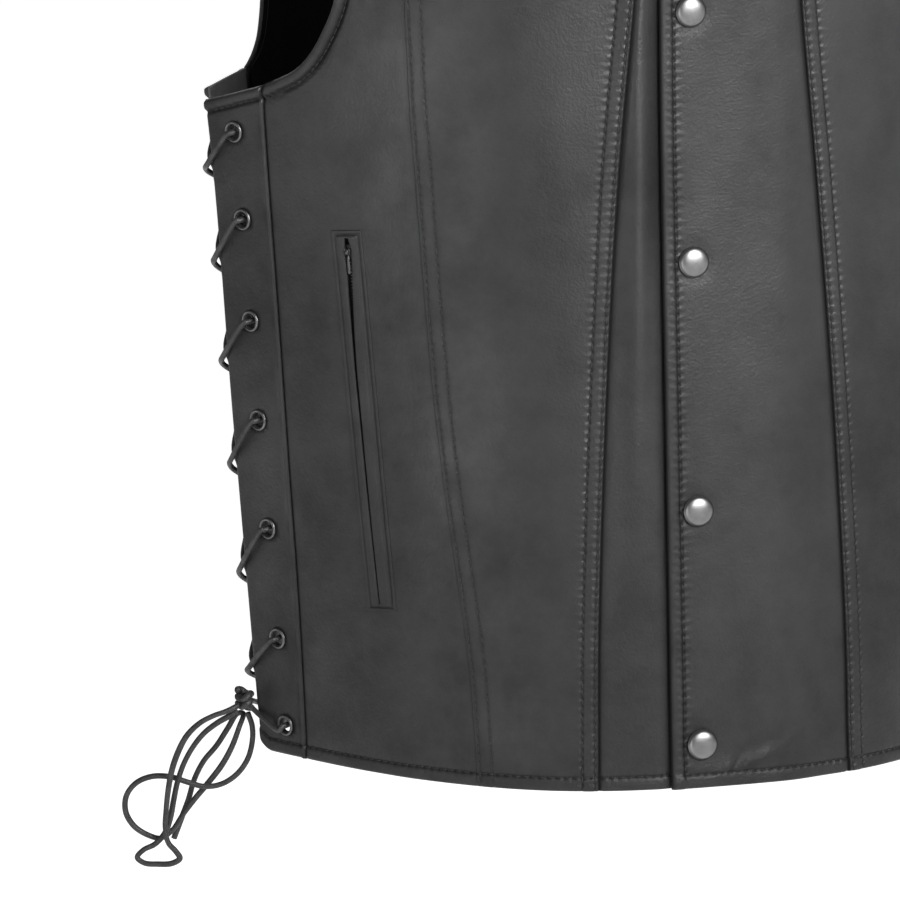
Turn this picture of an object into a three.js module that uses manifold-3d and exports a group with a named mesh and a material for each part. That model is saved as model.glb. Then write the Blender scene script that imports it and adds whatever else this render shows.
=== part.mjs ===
import * as THREE from 'three';
import { mergeVertices } from 'three/addons/utils/BufferGeometryUtils.js';
import Module from 'manifold-3d';

// A leather vest laced at both sides, in the hollow shape that it has when it is worn. Millimetres,
// +Z up. The front faces -Y and the wearer's right side is -X. The origin is midway between the
// shoulders, at the level where they carry the vest. "up" is a place's height along the leather: it
// is Z as far as the chest, and above that the way over the shoulder.

const wasm = await Module();
wasm.setup();

// Levels along the leather, and the walls.
const hemUp = -640;
const underarmUp = -322;
const frontBreakUp = -258;
const frontSeamTop = -312;
const backSeamTop = -314;
const backEdgeTop = -319;
const wallThick = 2;
const liningThick = 1;
const pieceGap = 0.3;

// The shoulder ridge: it slopes from the neck to the shoulder tip.
const neckHalf = 78;
const neckHeight = 15;
const tipHalf = 188;
const shoulderSlope = 0.344;
const neckRound = 30;
const backNeckDrop = 50;

// Each half of the body is a run of level sections. half is the half width at the side lacing, and
// depth is how far the middle stands from the side line. roll is the bend over the shoulder: drop is
// its height and arc its length along the leather.
const front = {
  side: -1,
  bow: 2.7,
  sideGap: 11,
  roll: { drop: 190, arc: 220, bow: 1.8 },
  sections: [
    { up: -640, half: 191, depth: 153 },
    { up: -481, half: 202.5, depth: 145 },
    { up: -322, half: 214, depth: 137 },
    { up: -200, half: 234, depth: 136 },
    { up: -60, half: 252, depth: 133 },
    { up: 60, half: 258, depth: 132 },
  ],
  folds: [
    { x: -41, up: -350, rise: 2.4, across: 8, along: 120 },
    { x: -92, up: -575, rise: 1.6, across: 24, along: 55 },
    { x: -150, up: -470, rise: -1.6, across: 16, along: 90 },
    { x: 96, up: -400, rise: -1.8, across: 22, along: 80 },
    { x: 128, up: -560, rise: 1.6, across: 20, along: 70 },
    { x: 150, up: -340, rise: 1.6, across: 18, along: 60 },
  ],
};
const back = {
  side: 1,
  bow: 2.6,
  sideGap: 11,
  roll: { drop: 165, arc: 190, bow: 1.8 },
  sections: [
    { up: -640, half: 184, depth: 92 },
    { up: -500, half: 194, depth: 88 },
    { up: -322, half: 207, depth: 100 },
    { up: -200, half: 228, depth: 106 },
    { up: -60, half: 246, depth: 105 },
    { up: 60, half: 250, depth: 104 },
  ],
  folds: [
    { x: -74, up: -480, rise: -3.2, across: 17, along: 105 },
    { x: -38, up: -535, rise: 2.6, across: 15, along: 90 },
    { x: 6, up: -455, rise: -2.4, across: 14, along: 120 },
    { x: 52, up: -520, rise: 2.8, across: 18, along: 95 },
    { x: 97, up: -470, rise: -3, across: 16, along: 110 },
    { x: -120, up: -300, rise: -2.2, across: 20, along: 60 },
    { x: 126, up: -286, rise: -2, across: 18, along: 70 },
  ],
};

// The seams and edges of one front, seen on the wearer's left: x is the way from the centre line.
const bandSeam = [
  { up: -640, x: 62.5 },
  { up: -560, x: 61 },
  { up: -450, x: 55.5 },
  { up: -350, x: 48.5 },
  { up: -270, x: 41 },
  { up: -180, x: 34 },
  { up: -60, x: 26 },
];
const princessSeam = [
  { up: -640, x: 114 },
  { up: -580, x: 117.5 },
  { up: -500, x: 126 },
  { up: -450, x: 130.5 },
  { up: -360, x: 136 },
  { up: -270, x: 141 },
  { up: -150, x: 146 },
  { up: -40, x: 143 },
  { up: 60, x: 137 },
];
const frontSideSeam = [
  { up: -640, x: 176 },
  { up: -570, x: 179 },
  { up: -485, x: 184 },
  { up: -400, x: 188.7 },
  { up: -312, x: 194 },
];
const frontArmhole = [
  { up: -312, x: 194 },
  { up: -305, x: 184 },
  { up: -298, x: 178.5 },
  { up: -287, x: 173.5 },
  { up: -270, x: 168.5 },
  { up: -235, x: 164 },
  { up: -195, x: 163 },
  { up: -150, x: 165 },
  { up: -100, x: 170 },
  { up: -55, x: 176.5 },
  { up: -20, x: 183 },
  { up: 8.3, x: tipHalf },
];
const backSideSeam = [
  { up: -640, x: 160 },
  { up: -500, x: 169 },
  { up: -314, x: 182 },
];
const backArmhole = [
  { up: -314, x: 182 },
  { up: -308, x: 176 },
  { up: -298, x: 171.5 },
  { up: -275, x: 168 },
  { up: -235, x: 167 },
  { up: -180, x: 168.5 },
  { up: -120, x: 172.5 },
  { up: -70, x: 178 },
  { up: -25, x: 184 },
  { up: 3.3, x: tipHalf },
];
const neckBow = 0.93;

// The rows of a front's walls: each row's level at the side line (the side seam, then the armhole), at
// the princess seam and at the band line (the band's seam, then the neck edge). The last row is the
// shoulder ridge. The band ends in a narrow tip below row bandEnd, where its seam meets the neck edge.
const frontRows = [
  { arm: -640, princess: -640, band: -640 },
  { arm: -592, princess: -592, band: -592 },
  { arm: -544, princess: -544, band: -544 },
  { arm: -496, princess: -496, band: -496 },
  { arm: -450, princess: -450, band: -450 },
  { arm: -404, princess: -406, band: -406 },
  { arm: -358, princess: -364, band: -364 },
  { arm: -312, princess: -330, band: -330 },
  { arm: -303, princess: -308, band: -308 },
  { arm: -288, princess: -286, band: -284 },
  { arm: -262, princess: -258, band: -258 },
  { arm: -225, princess: -222, band: -222 },
  { arm: -180, princess: -178, band: -180 },
  { arm: -135, princess: -135, band: -138 },
  { arm: -97, princess: -94, band: -100 },
  { arm: -62, princess: -55, band: -58 },
  { arm: -34, princess: -20, band: -16 },
  { arm: -13, princess: 6, band: 20 },
  { arm: 8.3, princess: 25.6, band: 45 },
];
const bandEnd = 14;
const bandTip = 7;
const backRows = [
  -640, -590, -540, -490, -440, -398, -356, -314, -303, -286, -258, -220, -175, -132, -92, -58, -30, -10, 3.3,
];

// The two fronts: past is how far each runs beyond the centre line, and the wearer's left one lies
// on the other, raised by lift over the overlap.
const overFront = { side: 1, past: 29, lift: 2.4 };
const underFront = { side: -1, past: 24, lift: 0 };
const liftStart = 27;
const liftEnd = 54;

const snap = { across: 14, ups: [-619, -508, -391, -274], radius: 7.4, height: 3.4, segments: 12 };
const eyelet = {
  ups: [-336, -378, -427, -475, -528, -582, -625],
  frontInset: 9,
  backInset: 12,
  bore: 3,
  barrel: 3.6,
  flange: 5.3,
  flangeThick: 0.9,
  holeRadius: 4,
  segments: 8,
};
const lace = { radius: 1.6, sides: 6, over: 3.1, under: 4.4, atEdge: 2.9, crossOut: 3.6, crossIn: -0.4 };

// The slanted zip pocket, on the wearer's left: its top and bottom, and what is in its slot.
const pocket = {
  top: { x: 162.5, up: -378 },
  bottom: { x: 149.5, up: -560 },
  weltHalf: 6.4,
  weltThick: 1,
  slotHalf: 4.2,
  slotEnd: 5,
  mouthHalf: 1.5,
  sliderHalf: 2.5,
  sliderRoom: 10,
  tapeHalf: 8,
  tapeThick: 0.9,
};
const slider = { length: 7, width: 6.4, floor: -1.95, top: -1, earGap: 1.3, earThick: 0.7, earTop: 1.9, earLong: 3 };
const pull = { pinHeight: 0.9, pinRadius: 0.5, eye: 0.85, ring: 1.45, width: 2, length: 13, thick: 0.8 };

// The knot under each side, and the two laces that hang from it. Each point is the way from the
// knot: out to the side, down, and near, towards someone who stands before that side.
const knot = { x: 198, y: -9, z: -615.5, turnDegrees: 16.6, radius: 4.6, tall: 6.4 };
const hangingLaces = {
  lace_loop: [
    [3, 2, 3.4], [9, 4.4, 5.6], [15, 6.4, 6], [21.8, 10, 6], [28, 16, 6], [32.4, 24, 6], [35.6, 33, 6],
    [37.6, 43, 6], [38.8, 53, 6], [39.4, 62, 6], [38, 69.5, 6], [34.6, 73.6, 6], [32.6, 77.4, 5.6],
    [36.4, 80, 5], [43.6, 80.6, 4], [50, 80.2, 3], [53.4, 77.6, 2.2], [50.4, 74, 2], [44.6, 71, 2],
    [39.8, 65.6, 2], [37, 58, 2], [35.2, 49, 2], [33.2, 40, 2], [30, 31, 2], [25.6, 23, 2],
    [20, 16, 2], [13, 10.6, 2], [7.6, 7.6, 1.6], [4, 5, 1.2],
  ],
  lace_ends: [
    [-1.2, 6.8, -1.4], [-3.2, 13.6, -2.4], [-3.2, 21, -2.4], [-0.8, 30, -2.4], [4.6, 37.6, -2.4],
    [12, 42.4, -2.4], [20.4, 43.6, -2.4], [28.4, 41.4, -2.4], [37, 38.6, -2.4], [46, 38.4, -2.4],
    [53.6, 41.6, -2.4], [58.4, 48, -2.4], [58.8, 56, -2.4], [55, 63, -2.6], [48.6, 67.6, -3],
    [42, 69.6, -4], [36.4, 66, -5.6], [31.6, 59, -6.2], [25.6, 51, -6.2], [18.6, 42.6, -6.2],
    [12, 34, -6.2], [7, 25, -6.2], [3.4, 15.6, -6.4], [1.2, 8.8, -8.2], [4.4, 9.4, -10.4],
    [8.6, 16, -10.4], [14.4, 25, -10.4], [21, 33, -10.4], [25.6, 42, -10.4], [28.6, 52, -10.4],
    [32.4, 62, -10.4], [36, 71.4, -10.4],
  ],
};
const hangingSides = 8;
const hangingStep = 8;

const black = { color: 0x303031, roughness: 0.55, metalness: 0 };
const leather = new THREE.MeshStandardMaterial(black);
const lining = new THREE.MeshStandardMaterial({ color: 0x111112, roughness: 0.8, metalness: 0 });
const laceLeather = new THREE.MeshStandardMaterial({ color: 0x27282a, roughness: 0.7, metalness: 0 });
const gunmetal = new THREE.MeshStandardMaterial({ color: 0x6c6c6e, roughness: 0.35, metalness: 1 });
const darkBrass = new THREE.MeshStandardMaterial({ color: 0x454547, roughness: 0.4, metalness: 1 });

const mix = (a, b, t) => a + (b - a) * t;
const clamp = (value, low, high) => Math.min(high, Math.max(low, value));
const soft = (t) => {
  const s = clamp(t, 0, 1);
  return s * s * (3 - 2 * s);
};

// A smooth line through a table's rows: the column's value at a level.
function follow(rows, column, up) {
  const last = rows.length - 1;
  const level = clamp(up, rows[0].up, rows[last].up);
  let i = 0;
  while (i < last - 1 && rows[i + 1].up < level) i += 1;
  const slope = (k) => {
    const a = rows[Math.max(0, k - 1)];
    const b = rows[Math.min(last, k + 1)];
    return (b[column] - a[column]) / (b.up - a.up);
  };
  const span = rows[i + 1].up - rows[i].up;
  const t = (level - rows[i].up) / span;
  const a = rows[i][column];
  const b = rows[i + 1][column];
  const bend = slope(i) * span * (1 - t) - slope(i + 1) * span * t + (b - a) * (2 * t - 1);
  return mix(a, b, t) + t * (1 - t) * bend;
}

const ridgeHeight = (x) =>
  neckHeight - shoulderSlope * (Math.hypot(x, neckRound) - Math.hypot(neckHalf, neckRound));
const ridgeUp = (form, x) => ridgeHeight(x) - form.roll.drop + form.roll.arc;

function foldRise(form, x, up) {
  const rise = (f) => f.rise * Math.exp(-(((x - f.x) / f.across) ** 2) - ((up - f.up) / f.along) ** 2);
  return form.folds.reduce((sum, f) => sum + rise(f), 0);
}

// The outer face of one half of the body, at a place on the leather.
function clothPoint(form, x, up) {
  const half = follow(form.sections, 'half', up);
  const depth = follow(form.sections, 'depth', up);
  const start = ridgeHeight(x) - form.roll.drop;
  const angle = clamp((up - start) / form.roll.arc, 0, 1) * (Math.PI / 2);
  const height = form.roll.drop * Math.sin(angle) ** (2 / form.roll.bow);
  const reach = Math.max(0, Math.cos(angle)) ** (2 / form.roll.bow);
  const across = Math.min(1, Math.abs(x) / half) ** form.bow;
  const out = (form.sideGap + (depth - form.sideGap) * (1 - across) + foldRise(form, x, up)) * reach;
  return new THREE.Vector3(x, form.side * (out + pieceGap / 2), up > start ? start + height : up);
}

// Unit ways along the leather: across to +X, up, and out of its face.
function clothFrame(form, x, up) {
  const step = 0.5;
  const across = clothPoint(form, x + step, up).sub(clothPoint(form, x - step, up));
  const above = clothPoint(form, x, up + step).sub(clothPoint(form, x, up - step));
  const out = new THREE.Vector3().crossVectors(across, above).multiplyScalar(-form.side).normalize();
  const stretch = across.length() / (2 * step);
  return { across: across.normalize(), above: above.normalize(), out, stretch };
}

const clothAt = (form, x, up, rise) =>
  clothPoint(form, x, up).addScaledVector(clothFrame(form, x, up).out, rise);

// A closed wall over part of the leather. place gives x and up for shares across and up, on the
// wearer's left; side mirrors it. outer and inner are its faces, as heights over the leather's face.
function wall(form, side, place, columns, rows, outer, inner, lift = () => 0) {
  const points = [];
  const at = (i, j, layer) => (layer * (rows + 1) + j) * (columns + 1) + i;
  for (const face of [outer, inner]) {
    for (let j = 0; j <= rows; j += 1) {
      for (let i = 0; i <= columns; i += 1) {
        const spot = place(i / columns, j / rows);
        const rise = face + lift(spot.x);
        points.push(...clothAt(form, side * spot.x, spot.up, rise).toArray());
      }
    }
  }
  const faces = [];
  const quad = (a, b, c, d) => faces.push([a, b, c], [a, c, d]);
  for (let j = 0; j < rows; j += 1) {
    for (let i = 0; i < columns; i += 1) {
      quad(at(i, j, 0), at(i + 1, j, 0), at(i + 1, j + 1, 0), at(i, j + 1, 0));
      quad(at(i, j, 1), at(i, j + 1, 1), at(i + 1, j + 1, 1), at(i + 1, j, 1));
    }
  }
  for (let i = 0; i < columns; i += 1) {
    quad(at(i + 1, 0, 0), at(i, 0, 0), at(i, 0, 1), at(i + 1, 0, 1));
    quad(at(i, rows, 0), at(i + 1, rows, 0), at(i + 1, rows, 1), at(i, rows, 1));
  }
  for (let j = 0; j < rows; j += 1) {
    quad(at(columns, j + 1, 0), at(columns, j, 0), at(columns, j, 1), at(columns, j + 1, 1));
    quad(at(0, j, 0), at(0, j + 1, 0), at(0, j + 1, 1), at(0, j, 1));
  }
  const turned = form.side * side > 0;
  const geometry = new THREE.BufferGeometry();
  geometry.setAttribute('position', new THREE.Float32BufferAttribute(points, 3));
  geometry.setIndex(faces.flatMap(([a, b, c]) => (turned ? [a, c, b] : [a, b, c])));
  return geometry;
}

// Cuts and joins of closed shapes.
function solidOf(geometry) {
  const bare = geometry.clone();
  for (const name of Object.keys(bare.attributes)) {
    if (name !== 'position') bare.deleteAttribute(name);
  }
  const merged = mergeVertices(bare, 1e-4);
  return new wasm.Manifold(
    new wasm.Mesh({
      numProp: 3,
      vertProperties: new Float32Array(merged.attributes.position.array),
      triVerts: new Uint32Array(merged.index.array),
    }),
  );
}

function geometryOf(solid) {
  const mesh = solid.getMesh();
  const geometry = new THREE.BufferGeometry();
  geometry.setAttribute('position', new THREE.BufferAttribute(new Float32Array(mesh.vertProperties), 3));
  geometry.setIndex(new THREE.BufferAttribute(new Uint32Array(mesh.triVerts), 1));
  return geometry;
}

const cut = (geometry, cutters) =>
  geometryOf(cutters.reduce((solid, cutter) => solid.subtract(solidOf(cutter)), solidOf(geometry)));
const join = (geometries) =>
  geometryOf(geometries.map(solidOf).reduce((whole, next) => whole.add(next)));

const group = new THREE.Group();
function add(name, geometry, material) {
  const mesh = new THREE.Mesh(geometry, material);
  mesh.name = name;
  group.add(mesh);
}

// A shape that is modelled about Z, set on the leather at a place: its Z points out of the face.
function setOn(form, x, up, geometry) {
  const frame = clothFrame(form, x, up);
  const aside = new THREE.Vector3().crossVectors(frame.above, frame.out).normalize();
  const above = new THREE.Vector3().crossVectors(frame.out, aside);
  const pose = new THREE.Matrix4().makeBasis(aside, above, frame.out).setPosition(clothPoint(form, x, up));
  return geometry.clone().applyMatrix4(pose);
}

// A turned part: the profile's pairs are its radius and its height along Z.
function turnedPart(profile, segments) {
  const outline = profile.map(([radius, height]) => new THREE.Vector2(radius, height));
  return new THREE.LatheGeometry(outline, segments).rotateX(Math.PI / 2);
}

const sides = [
  { name: 'right', side: -1, style: underFront },
  { name: 'left', side: 1, style: overFront },
];

// The neck edge of a front, from the break at the top snap to the shoulder ridge.
function neckEdge(style, up) {
  const t = (up - frontBreakUp) / (ridgeUp(front, neckHalf) - frontBreakUp);
  return mix(-style.past, neckHalf, clamp(t, 0, 1) ** neckBow);
}

// The level where the band's seam runs into the neck edge.
function bandTop(style) {
  let low = frontBreakUp;
  let high = -60;
  for (let i = 0; i < 30; i += 1) {
    const middle = (low + high) / 2;
    if (neckEdge(style, middle) < follow(bandSeam, 'x', middle)) low = middle;
    else high = middle;
  }
  return low;
}

// The last rows bend to the shoulder ridge, between their two ends on it.
function toRidge(form, x, up, s, t, nearX, farX) {
  const straight = mix(ridgeUp(form, nearX), ridgeUp(form, farX), s);
  return up + (ridgeUp(form, x) - straight) * soft((t - 0.6) / 0.4);
}

const inset = pieceGap / 2;
const frontSideEdge = (up) => follow(front.sections, 'half', up);
const backSideEdge = (up) => follow(back.sections, 'half', up);

function frontPanels({ name, side, style }) {
  const top = bandTop(style);
  const lift = (x) => style.lift * (1 - soft((x - liftStart) / (liftEnd - liftStart)));

  const lacePlace = (s, t) => {
    const inner = { up: mix(hemUp, frontSeamTop - pieceGap, t) };
    inner.x = follow(frontSideSeam, 'x', inner.up) + inset;
    const outerUp = mix(hemUp, underarmUp, t);
    return { x: mix(inner.x, frontSideEdge(outerUp), s), up: mix(inner.up, outerUp, s) };
  };
  const lacePanel = wall(front, side, lacePlace, 2, 10, 0, -wallThick);
  add(`front_lace_panel_${name}`, cut(lacePanel, eyeletHoles(front, side)), leather);

  const last = frontRows.length - 1;
  const rowAt = (t, column) => {
    const row = Math.round(t * last);
    return row === bandEnd && column === 'band' ? top : frontRows[row][column];
  };
  const sidePlace = (s, t) => {
    const armUp = rowAt(t, 'arm');
    const seamUp = rowAt(t, 'princess');
    const armX = armUp > frontSeamTop ? follow(frontArmhole, 'x', armUp) : follow(frontSideSeam, 'x', armUp) - inset;
    const seamX = follow(princessSeam, 'x', seamUp) + inset;
    const x = mix(seamX, armX, s);
    return { x, up: toRidge(front, x, mix(seamUp, armUp, s), s, t, seamX, armX) };
  };
  const sidePanel = wall(front, side, sidePlace, 5, last, 0, -wallThick);
  add(`front_side_panel_${name}`, cut(sidePanel, [pocketPatch(side, pocket.slotHalf, slotRun, 4, -6)]), leather);

  const middlePlace = (s, t) => {
    const bandUp = rowAt(t, 'band');
    const seamUp = rowAt(t, 'princess');
    const bandX = bandUp >= top ? neckEdge(style, bandUp) : follow(bandSeam, 'x', bandUp) + inset;
    const seamX = follow(princessSeam, 'x', seamUp) - inset;
    const x = mix(bandX, seamX, s);
    return { x, up: toRidge(front, x, mix(bandUp, seamUp, s), s, t, bandX, seamX) };
  };
  add(`front_middle_panel_${name}`, wall(front, side, middlePlace, 4, last, 0, -wallThick, lift), leather);

  const bandPlace = (s, t) => {
    const row = Math.round(t * bandEnd);
    const up = row === bandEnd ? top - bandTip : frontRows[row].band;
    const freeX = up > frontBreakUp ? neckEdge(style, up) : -style.past;
    return { x: mix(freeX, follow(bandSeam, 'x', up) - inset, s), up };
  };
  add(`front_band_${name}`, wall(front, side, bandPlace, 7, bandEnd, 0, -wallThick, lift), leather);
}

function backTop(x) {
  const dip = Math.max(0, 1 - (x / neckHalf) ** 2) ** 0.8;
  return ridgeUp(back, x) - backNeckDrop * dip;
}

// The back panel's places, across from the wearer's right to left: a column meets each neck corner.
function backPlace(s, t) {
  const up = backRows[Math.round(t * (backRows.length - 1))];
  const edge = up > backSeamTop ? follow(backArmhole, 'x', up) : follow(backSideSeam, 'x', up) - inset;
  const shares = [0, 0.13, 0.26, neckHalf / tipHalf, 0.55, 0.7, 0.85, 1];
  const half = shares.length - 1;
  const column = Math.round(s * 2 * half) - half;
  const x = Math.sign(column) * shares[Math.abs(column)] * edge;
  const climb = soft((up - underarmUp) / (ridgeUp(back, tipHalf) - underarmUp));
  return { x, up: up + (backTop(x) - ridgeUp(back, tipHalf)) * climb };
}

function backPanels() {
  const rows = backRows.length - 1;
  add('back_panel', wall(back, 1, backPlace, 14, rows, 0, -wallThick), leather);
  const liningOut = -wallThick - pieceGap;
  add('back_lining', wall(back, 1, backPlace, 14, rows, liningOut, liningOut - liningThick), lining);
  for (const { name, side } of sides) {
    const lacePlace = (s, t) => {
      const innerUp = mix(hemUp, backSeamTop, t);
      const outerUp = mix(hemUp, backEdgeTop, t);
      const x = mix(follow(backSideSeam, 'x', innerUp) + inset, backSideEdge(outerUp), s);
      return { x, up: mix(innerUp, outerUp, s) };
    };
    const lacePanel = wall(back, side, lacePlace, 2, 10, 0, -wallThick);
    add(`back_lace_panel_${name}`, cut(lacePanel, eyeletHoles(back, side)), leather);
  }
}

const eyeletX = (form, up) =>
  form === front ? frontSideEdge(up) - eyelet.frontInset : backSideEdge(up) - eyelet.backInset;

function eyeletHoles(form, side) {
  const drill = new THREE.CylinderGeometry(eyelet.holeRadius, eyelet.holeRadius, 8, eyelet.segments);
  drill.rotateX(Math.PI / 2);
  return eyelet.ups.map((up) => setOn(form, side * eyeletX(form, up), up, drill));
}

function eyelets() {
  const { bore, barrel, flange, flangeThick, segments } = eyelet;
  const ring = turnedPart(
    [
      [bore, -1.6],
      [barrel, -1.6],
      [barrel, pieceGap],
      [flange, pieceGap],
      [bore, pieceGap + flangeThick],
      [bore, -1.6],
    ],
    segments,
  );
  for (const { name, side } of sides) {
    for (const [half, form] of [['front', front], ['back', back]]) {
      eyelet.ups.forEach((up, i) => {
        add(`eyelet_${half}_${name}_${i + 1}`, setOn(form, side * eyeletX(form, up), up, ring), darkBrass);
      });
    }
  }
}

function snaps() {
  const { radius, height, segments } = snap;
  const cap = turnedPart(
    [
      [0, pieceGap],
      [radius - 0.4, pieceGap],
      [radius, pieceGap + 0.8],
      [radius * 0.82, height * 0.72],
      [radius * 0.45, height * 0.96],
      [0, height + 0.1],
    ],
    segments,
  ).translate(0, 0, overFront.lift);
  snap.ups.forEach((up, i) => add(`snap_cap_${i + 1}`, setOn(front, -snap.across, up, cap), gunmetal));
}

// A patch of the pocket: run gives the shares of the pocket's length where it starts and ends.
const pocketLength = Math.hypot(pocket.top.x - pocket.bottom.x, pocket.top.up - pocket.bottom.up);
const slotRun = [pocket.slotEnd / pocketLength, 1 - pocket.slotEnd / pocketLength];
function pocketSpot(share) {
  const { top, bottom } = pocket;
  return { x: mix(bottom.x, top.x, share), up: mix(bottom.up, top.up, share) };
}
function pocketPatch(side, halfWidth, run, outer, inner) {
  const place = (s, t) => {
    const spot = pocketSpot(mix(run[0], run[1], t));
    const { stretch } = clothFrame(front, side * spot.x, spot.up);
    return { x: spot.x + (mix(-halfWidth, halfWidth, s) / stretch), up: spot.up };
  };
  return wall(front, side, place, 1, 5, outer, inner);
}

const box = (long, wide, tall, x, y, z) => new THREE.BoxGeometry(wide, long, tall).translate(x, y, z);

function pockets() {
  const { slotEnd, mouthHalf, sliderHalf, sliderRoom, weltHalf, weltThick } = pocket;
  const mouthTop = slotRun[1] - 0.3 / pocketLength;
  const mouthRun = [slotRun[0] + 0.3 / pocketLength, mouthTop];
  const roomRun = [mouthTop - sliderRoom / pocketLength, mouthTop];
  const sliderSpot = pocketSpot(1 - (slotEnd + sliderRoom / 2 + 0.3) / pocketLength);

  const body = box(slider.length, slider.width, slider.top - slider.floor, 0, 0, (slider.top + slider.floor) / 2);
  const earTall = slider.earTop - slider.top + 0.1;
  const earX = slider.earGap + slider.earThick / 2;
  const ears = [-earX, earX].map((x) =>
    box(slider.earLong, slider.earThick, earTall, x, 0, slider.earTop - earTall / 2));
  const pin = new THREE.CylinderGeometry(pull.pinRadius, pull.pinRadius, 2 * earX, 6);
  pin.rotateZ(Math.PI / 2).translate(0, 0, pull.pinHeight);

  // The pull tab is its side view, cut from a bar: an eye round the pin, and the blade under it.
  const outline = new THREE.Shape();
  const half = pull.thick / 2;
  const neck = Math.sqrt(pull.ring ** 2 - half ** 2);
  outline.moveTo(-pull.length, -half);
  outline.lineTo(-neck, -half);
  const start = Math.atan2(-half, -neck);
  for (let i = 1; i < 10; i += 1) {
    const angle = start + ((2 * Math.PI - 2 * Math.asin(half / pull.ring)) * i) / 10;
    outline.lineTo(pull.ring * Math.cos(angle), pull.ring * Math.sin(angle));
  }
  outline.lineTo(-neck, half);
  outline.lineTo(-pull.length, half);
  const eye = new THREE.Path();
  for (let i = 0; i <= 8; i += 1) {
    const angle = (-2 * Math.PI * i) / 8;
    const spot = [pull.eye * Math.cos(angle), pull.eye * Math.sin(angle)];
    if (i === 0) eye.moveTo(...spot);
    else eye.lineTo(...spot);
  }
  outline.holes.push(eye);
  const tab = new THREE.ExtrudeGeometry(outline, { depth: pull.width, bevelEnabled: false });
  tab.translate(0, 0, -pull.width / 2);
  const turn = new THREE.Matrix4().makeBasis(
    new THREE.Vector3(0, 1, 0), new THREE.Vector3(0, 0, 1), new THREE.Vector3(1, 0, 0));
  tab.applyMatrix4(turn).translate(0, 0, pull.pinHeight);

  for (const { name, side } of sides) {
    const welt = pocketPatch(side, weltHalf, [0, 1], pieceGap + weltThick, pieceGap);
    const mouth = pocketPatch(side, mouthHalf, mouthRun, 4, -3);
    const room = pocketPatch(side, sliderHalf, roomRun, 4, -3);
    add(`pocket_welt_${name}`, cut(welt, [mouth, room]), leather);
    const tapeTop = -wallThick - pieceGap;
    const tape = pocketPatch(side, pocket.tapeHalf, [0.01, 0.99], tapeTop, tapeTop - pocket.tapeThick);
    add(`pocket_zip_tape_${name}`, tape, lining);
    const lean = Math.atan2(pocket.top.x - pocket.bottom.x, pocket.top.up - pocket.bottom.up);
    const along = (geometry) => setOn(front, side * sliderSpot.x, sliderSpot.up,
      geometry.clone().rotateZ(-side * lean * leanShare(side, sliderSpot)));
    add(`pocket_slider_${name}`, along(join([body, ...ears, pin])), darkBrass);
    add(`pocket_pull_${name}`, along(tab), darkBrass);
  }
}

// How much of a slant in plain view shows along the leather, which is stretched to the side.
function leanShare(side, spot) {
  return clothFrame(front, side * spot.x, spot.up).stretch;
}

// The lace passes each eyelet from the inside out, runs over its own panel's edge, crosses the gap
// and goes under the other panel, one eyelet lower.
class LaidCurve extends THREE.CatmullRomCurve3 {
  getPointAt(u, target) {
    return this.getPoint(u, target);
  }

  getTangentAt(u, target) {
    return this.getTangent(u, target);
  }
}

function roundSection(radius, count) {
  const shape = new THREE.Shape();
  for (let i = 0; i < count; i += 1) {
    const angle = (2 * Math.PI * i) / count;
    const spot = [radius * Math.cos(angle), radius * Math.sin(angle)];
    if (i === 0) shape.moveTo(...spot);
    else shape.lineTo(...spot);
  }
  shape.closePath();
  return shape;
}

function edgePoint(form, side, up, rise) {
  const x = (form === front ? frontSideEdge(up) : backSideEdge(up)) - 0.2;
  return clothAt(form, side * x, up, rise);
}

// The lace through eyelet number i of a half, as points from its outside to its inside.
function throughEyelet(form, side, i) {
  const up = eyelet.ups[i];
  const x = side * eyeletX(form, up);
  const frame = clothFrame(form, x, up);
  const centre = clothPoint(form, x, up);
  const toEdge = frame.across.clone().multiplyScalar(side);
  const spot = (rise, aside, above) =>
    centre.clone().addScaledVector(frame.out, rise).addScaledVector(toEdge, aside).addScaledVector(frame.above, above);
  return [
    spot(lace.over, 3, -2),
    spot(1.7, 0.4, -0.3),
    spot(-2.2, 0, 0.1),
    spot(-lace.under, 1.6, 1.4),
  ];
}

// From outside eyelet i of one half, over its edge and under the other half, to eyelet i + 1 there.
function crossing(form, other, side, i) {
  const from = eyelet.ups[i];
  const to = eyelet.ups[i + 1];
  const overEdge = edgePoint(form, side, mix(from, to, 0.36), lace.atEdge);
  const underEdge = edgePoint(other, side, mix(from, to, 0.68), -lace.under);
  const gap = new THREE.Vector3().lerpVectors(
    edgePoint(form, side, mix(from, to, 0.5), 0), edgePoint(other, side, mix(from, to, 0.5), 0), 0.42);
  gap.x += side * (form === front ? lace.crossOut : lace.crossIn);
  return [overEdge, gap, underEdge];
}

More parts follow.
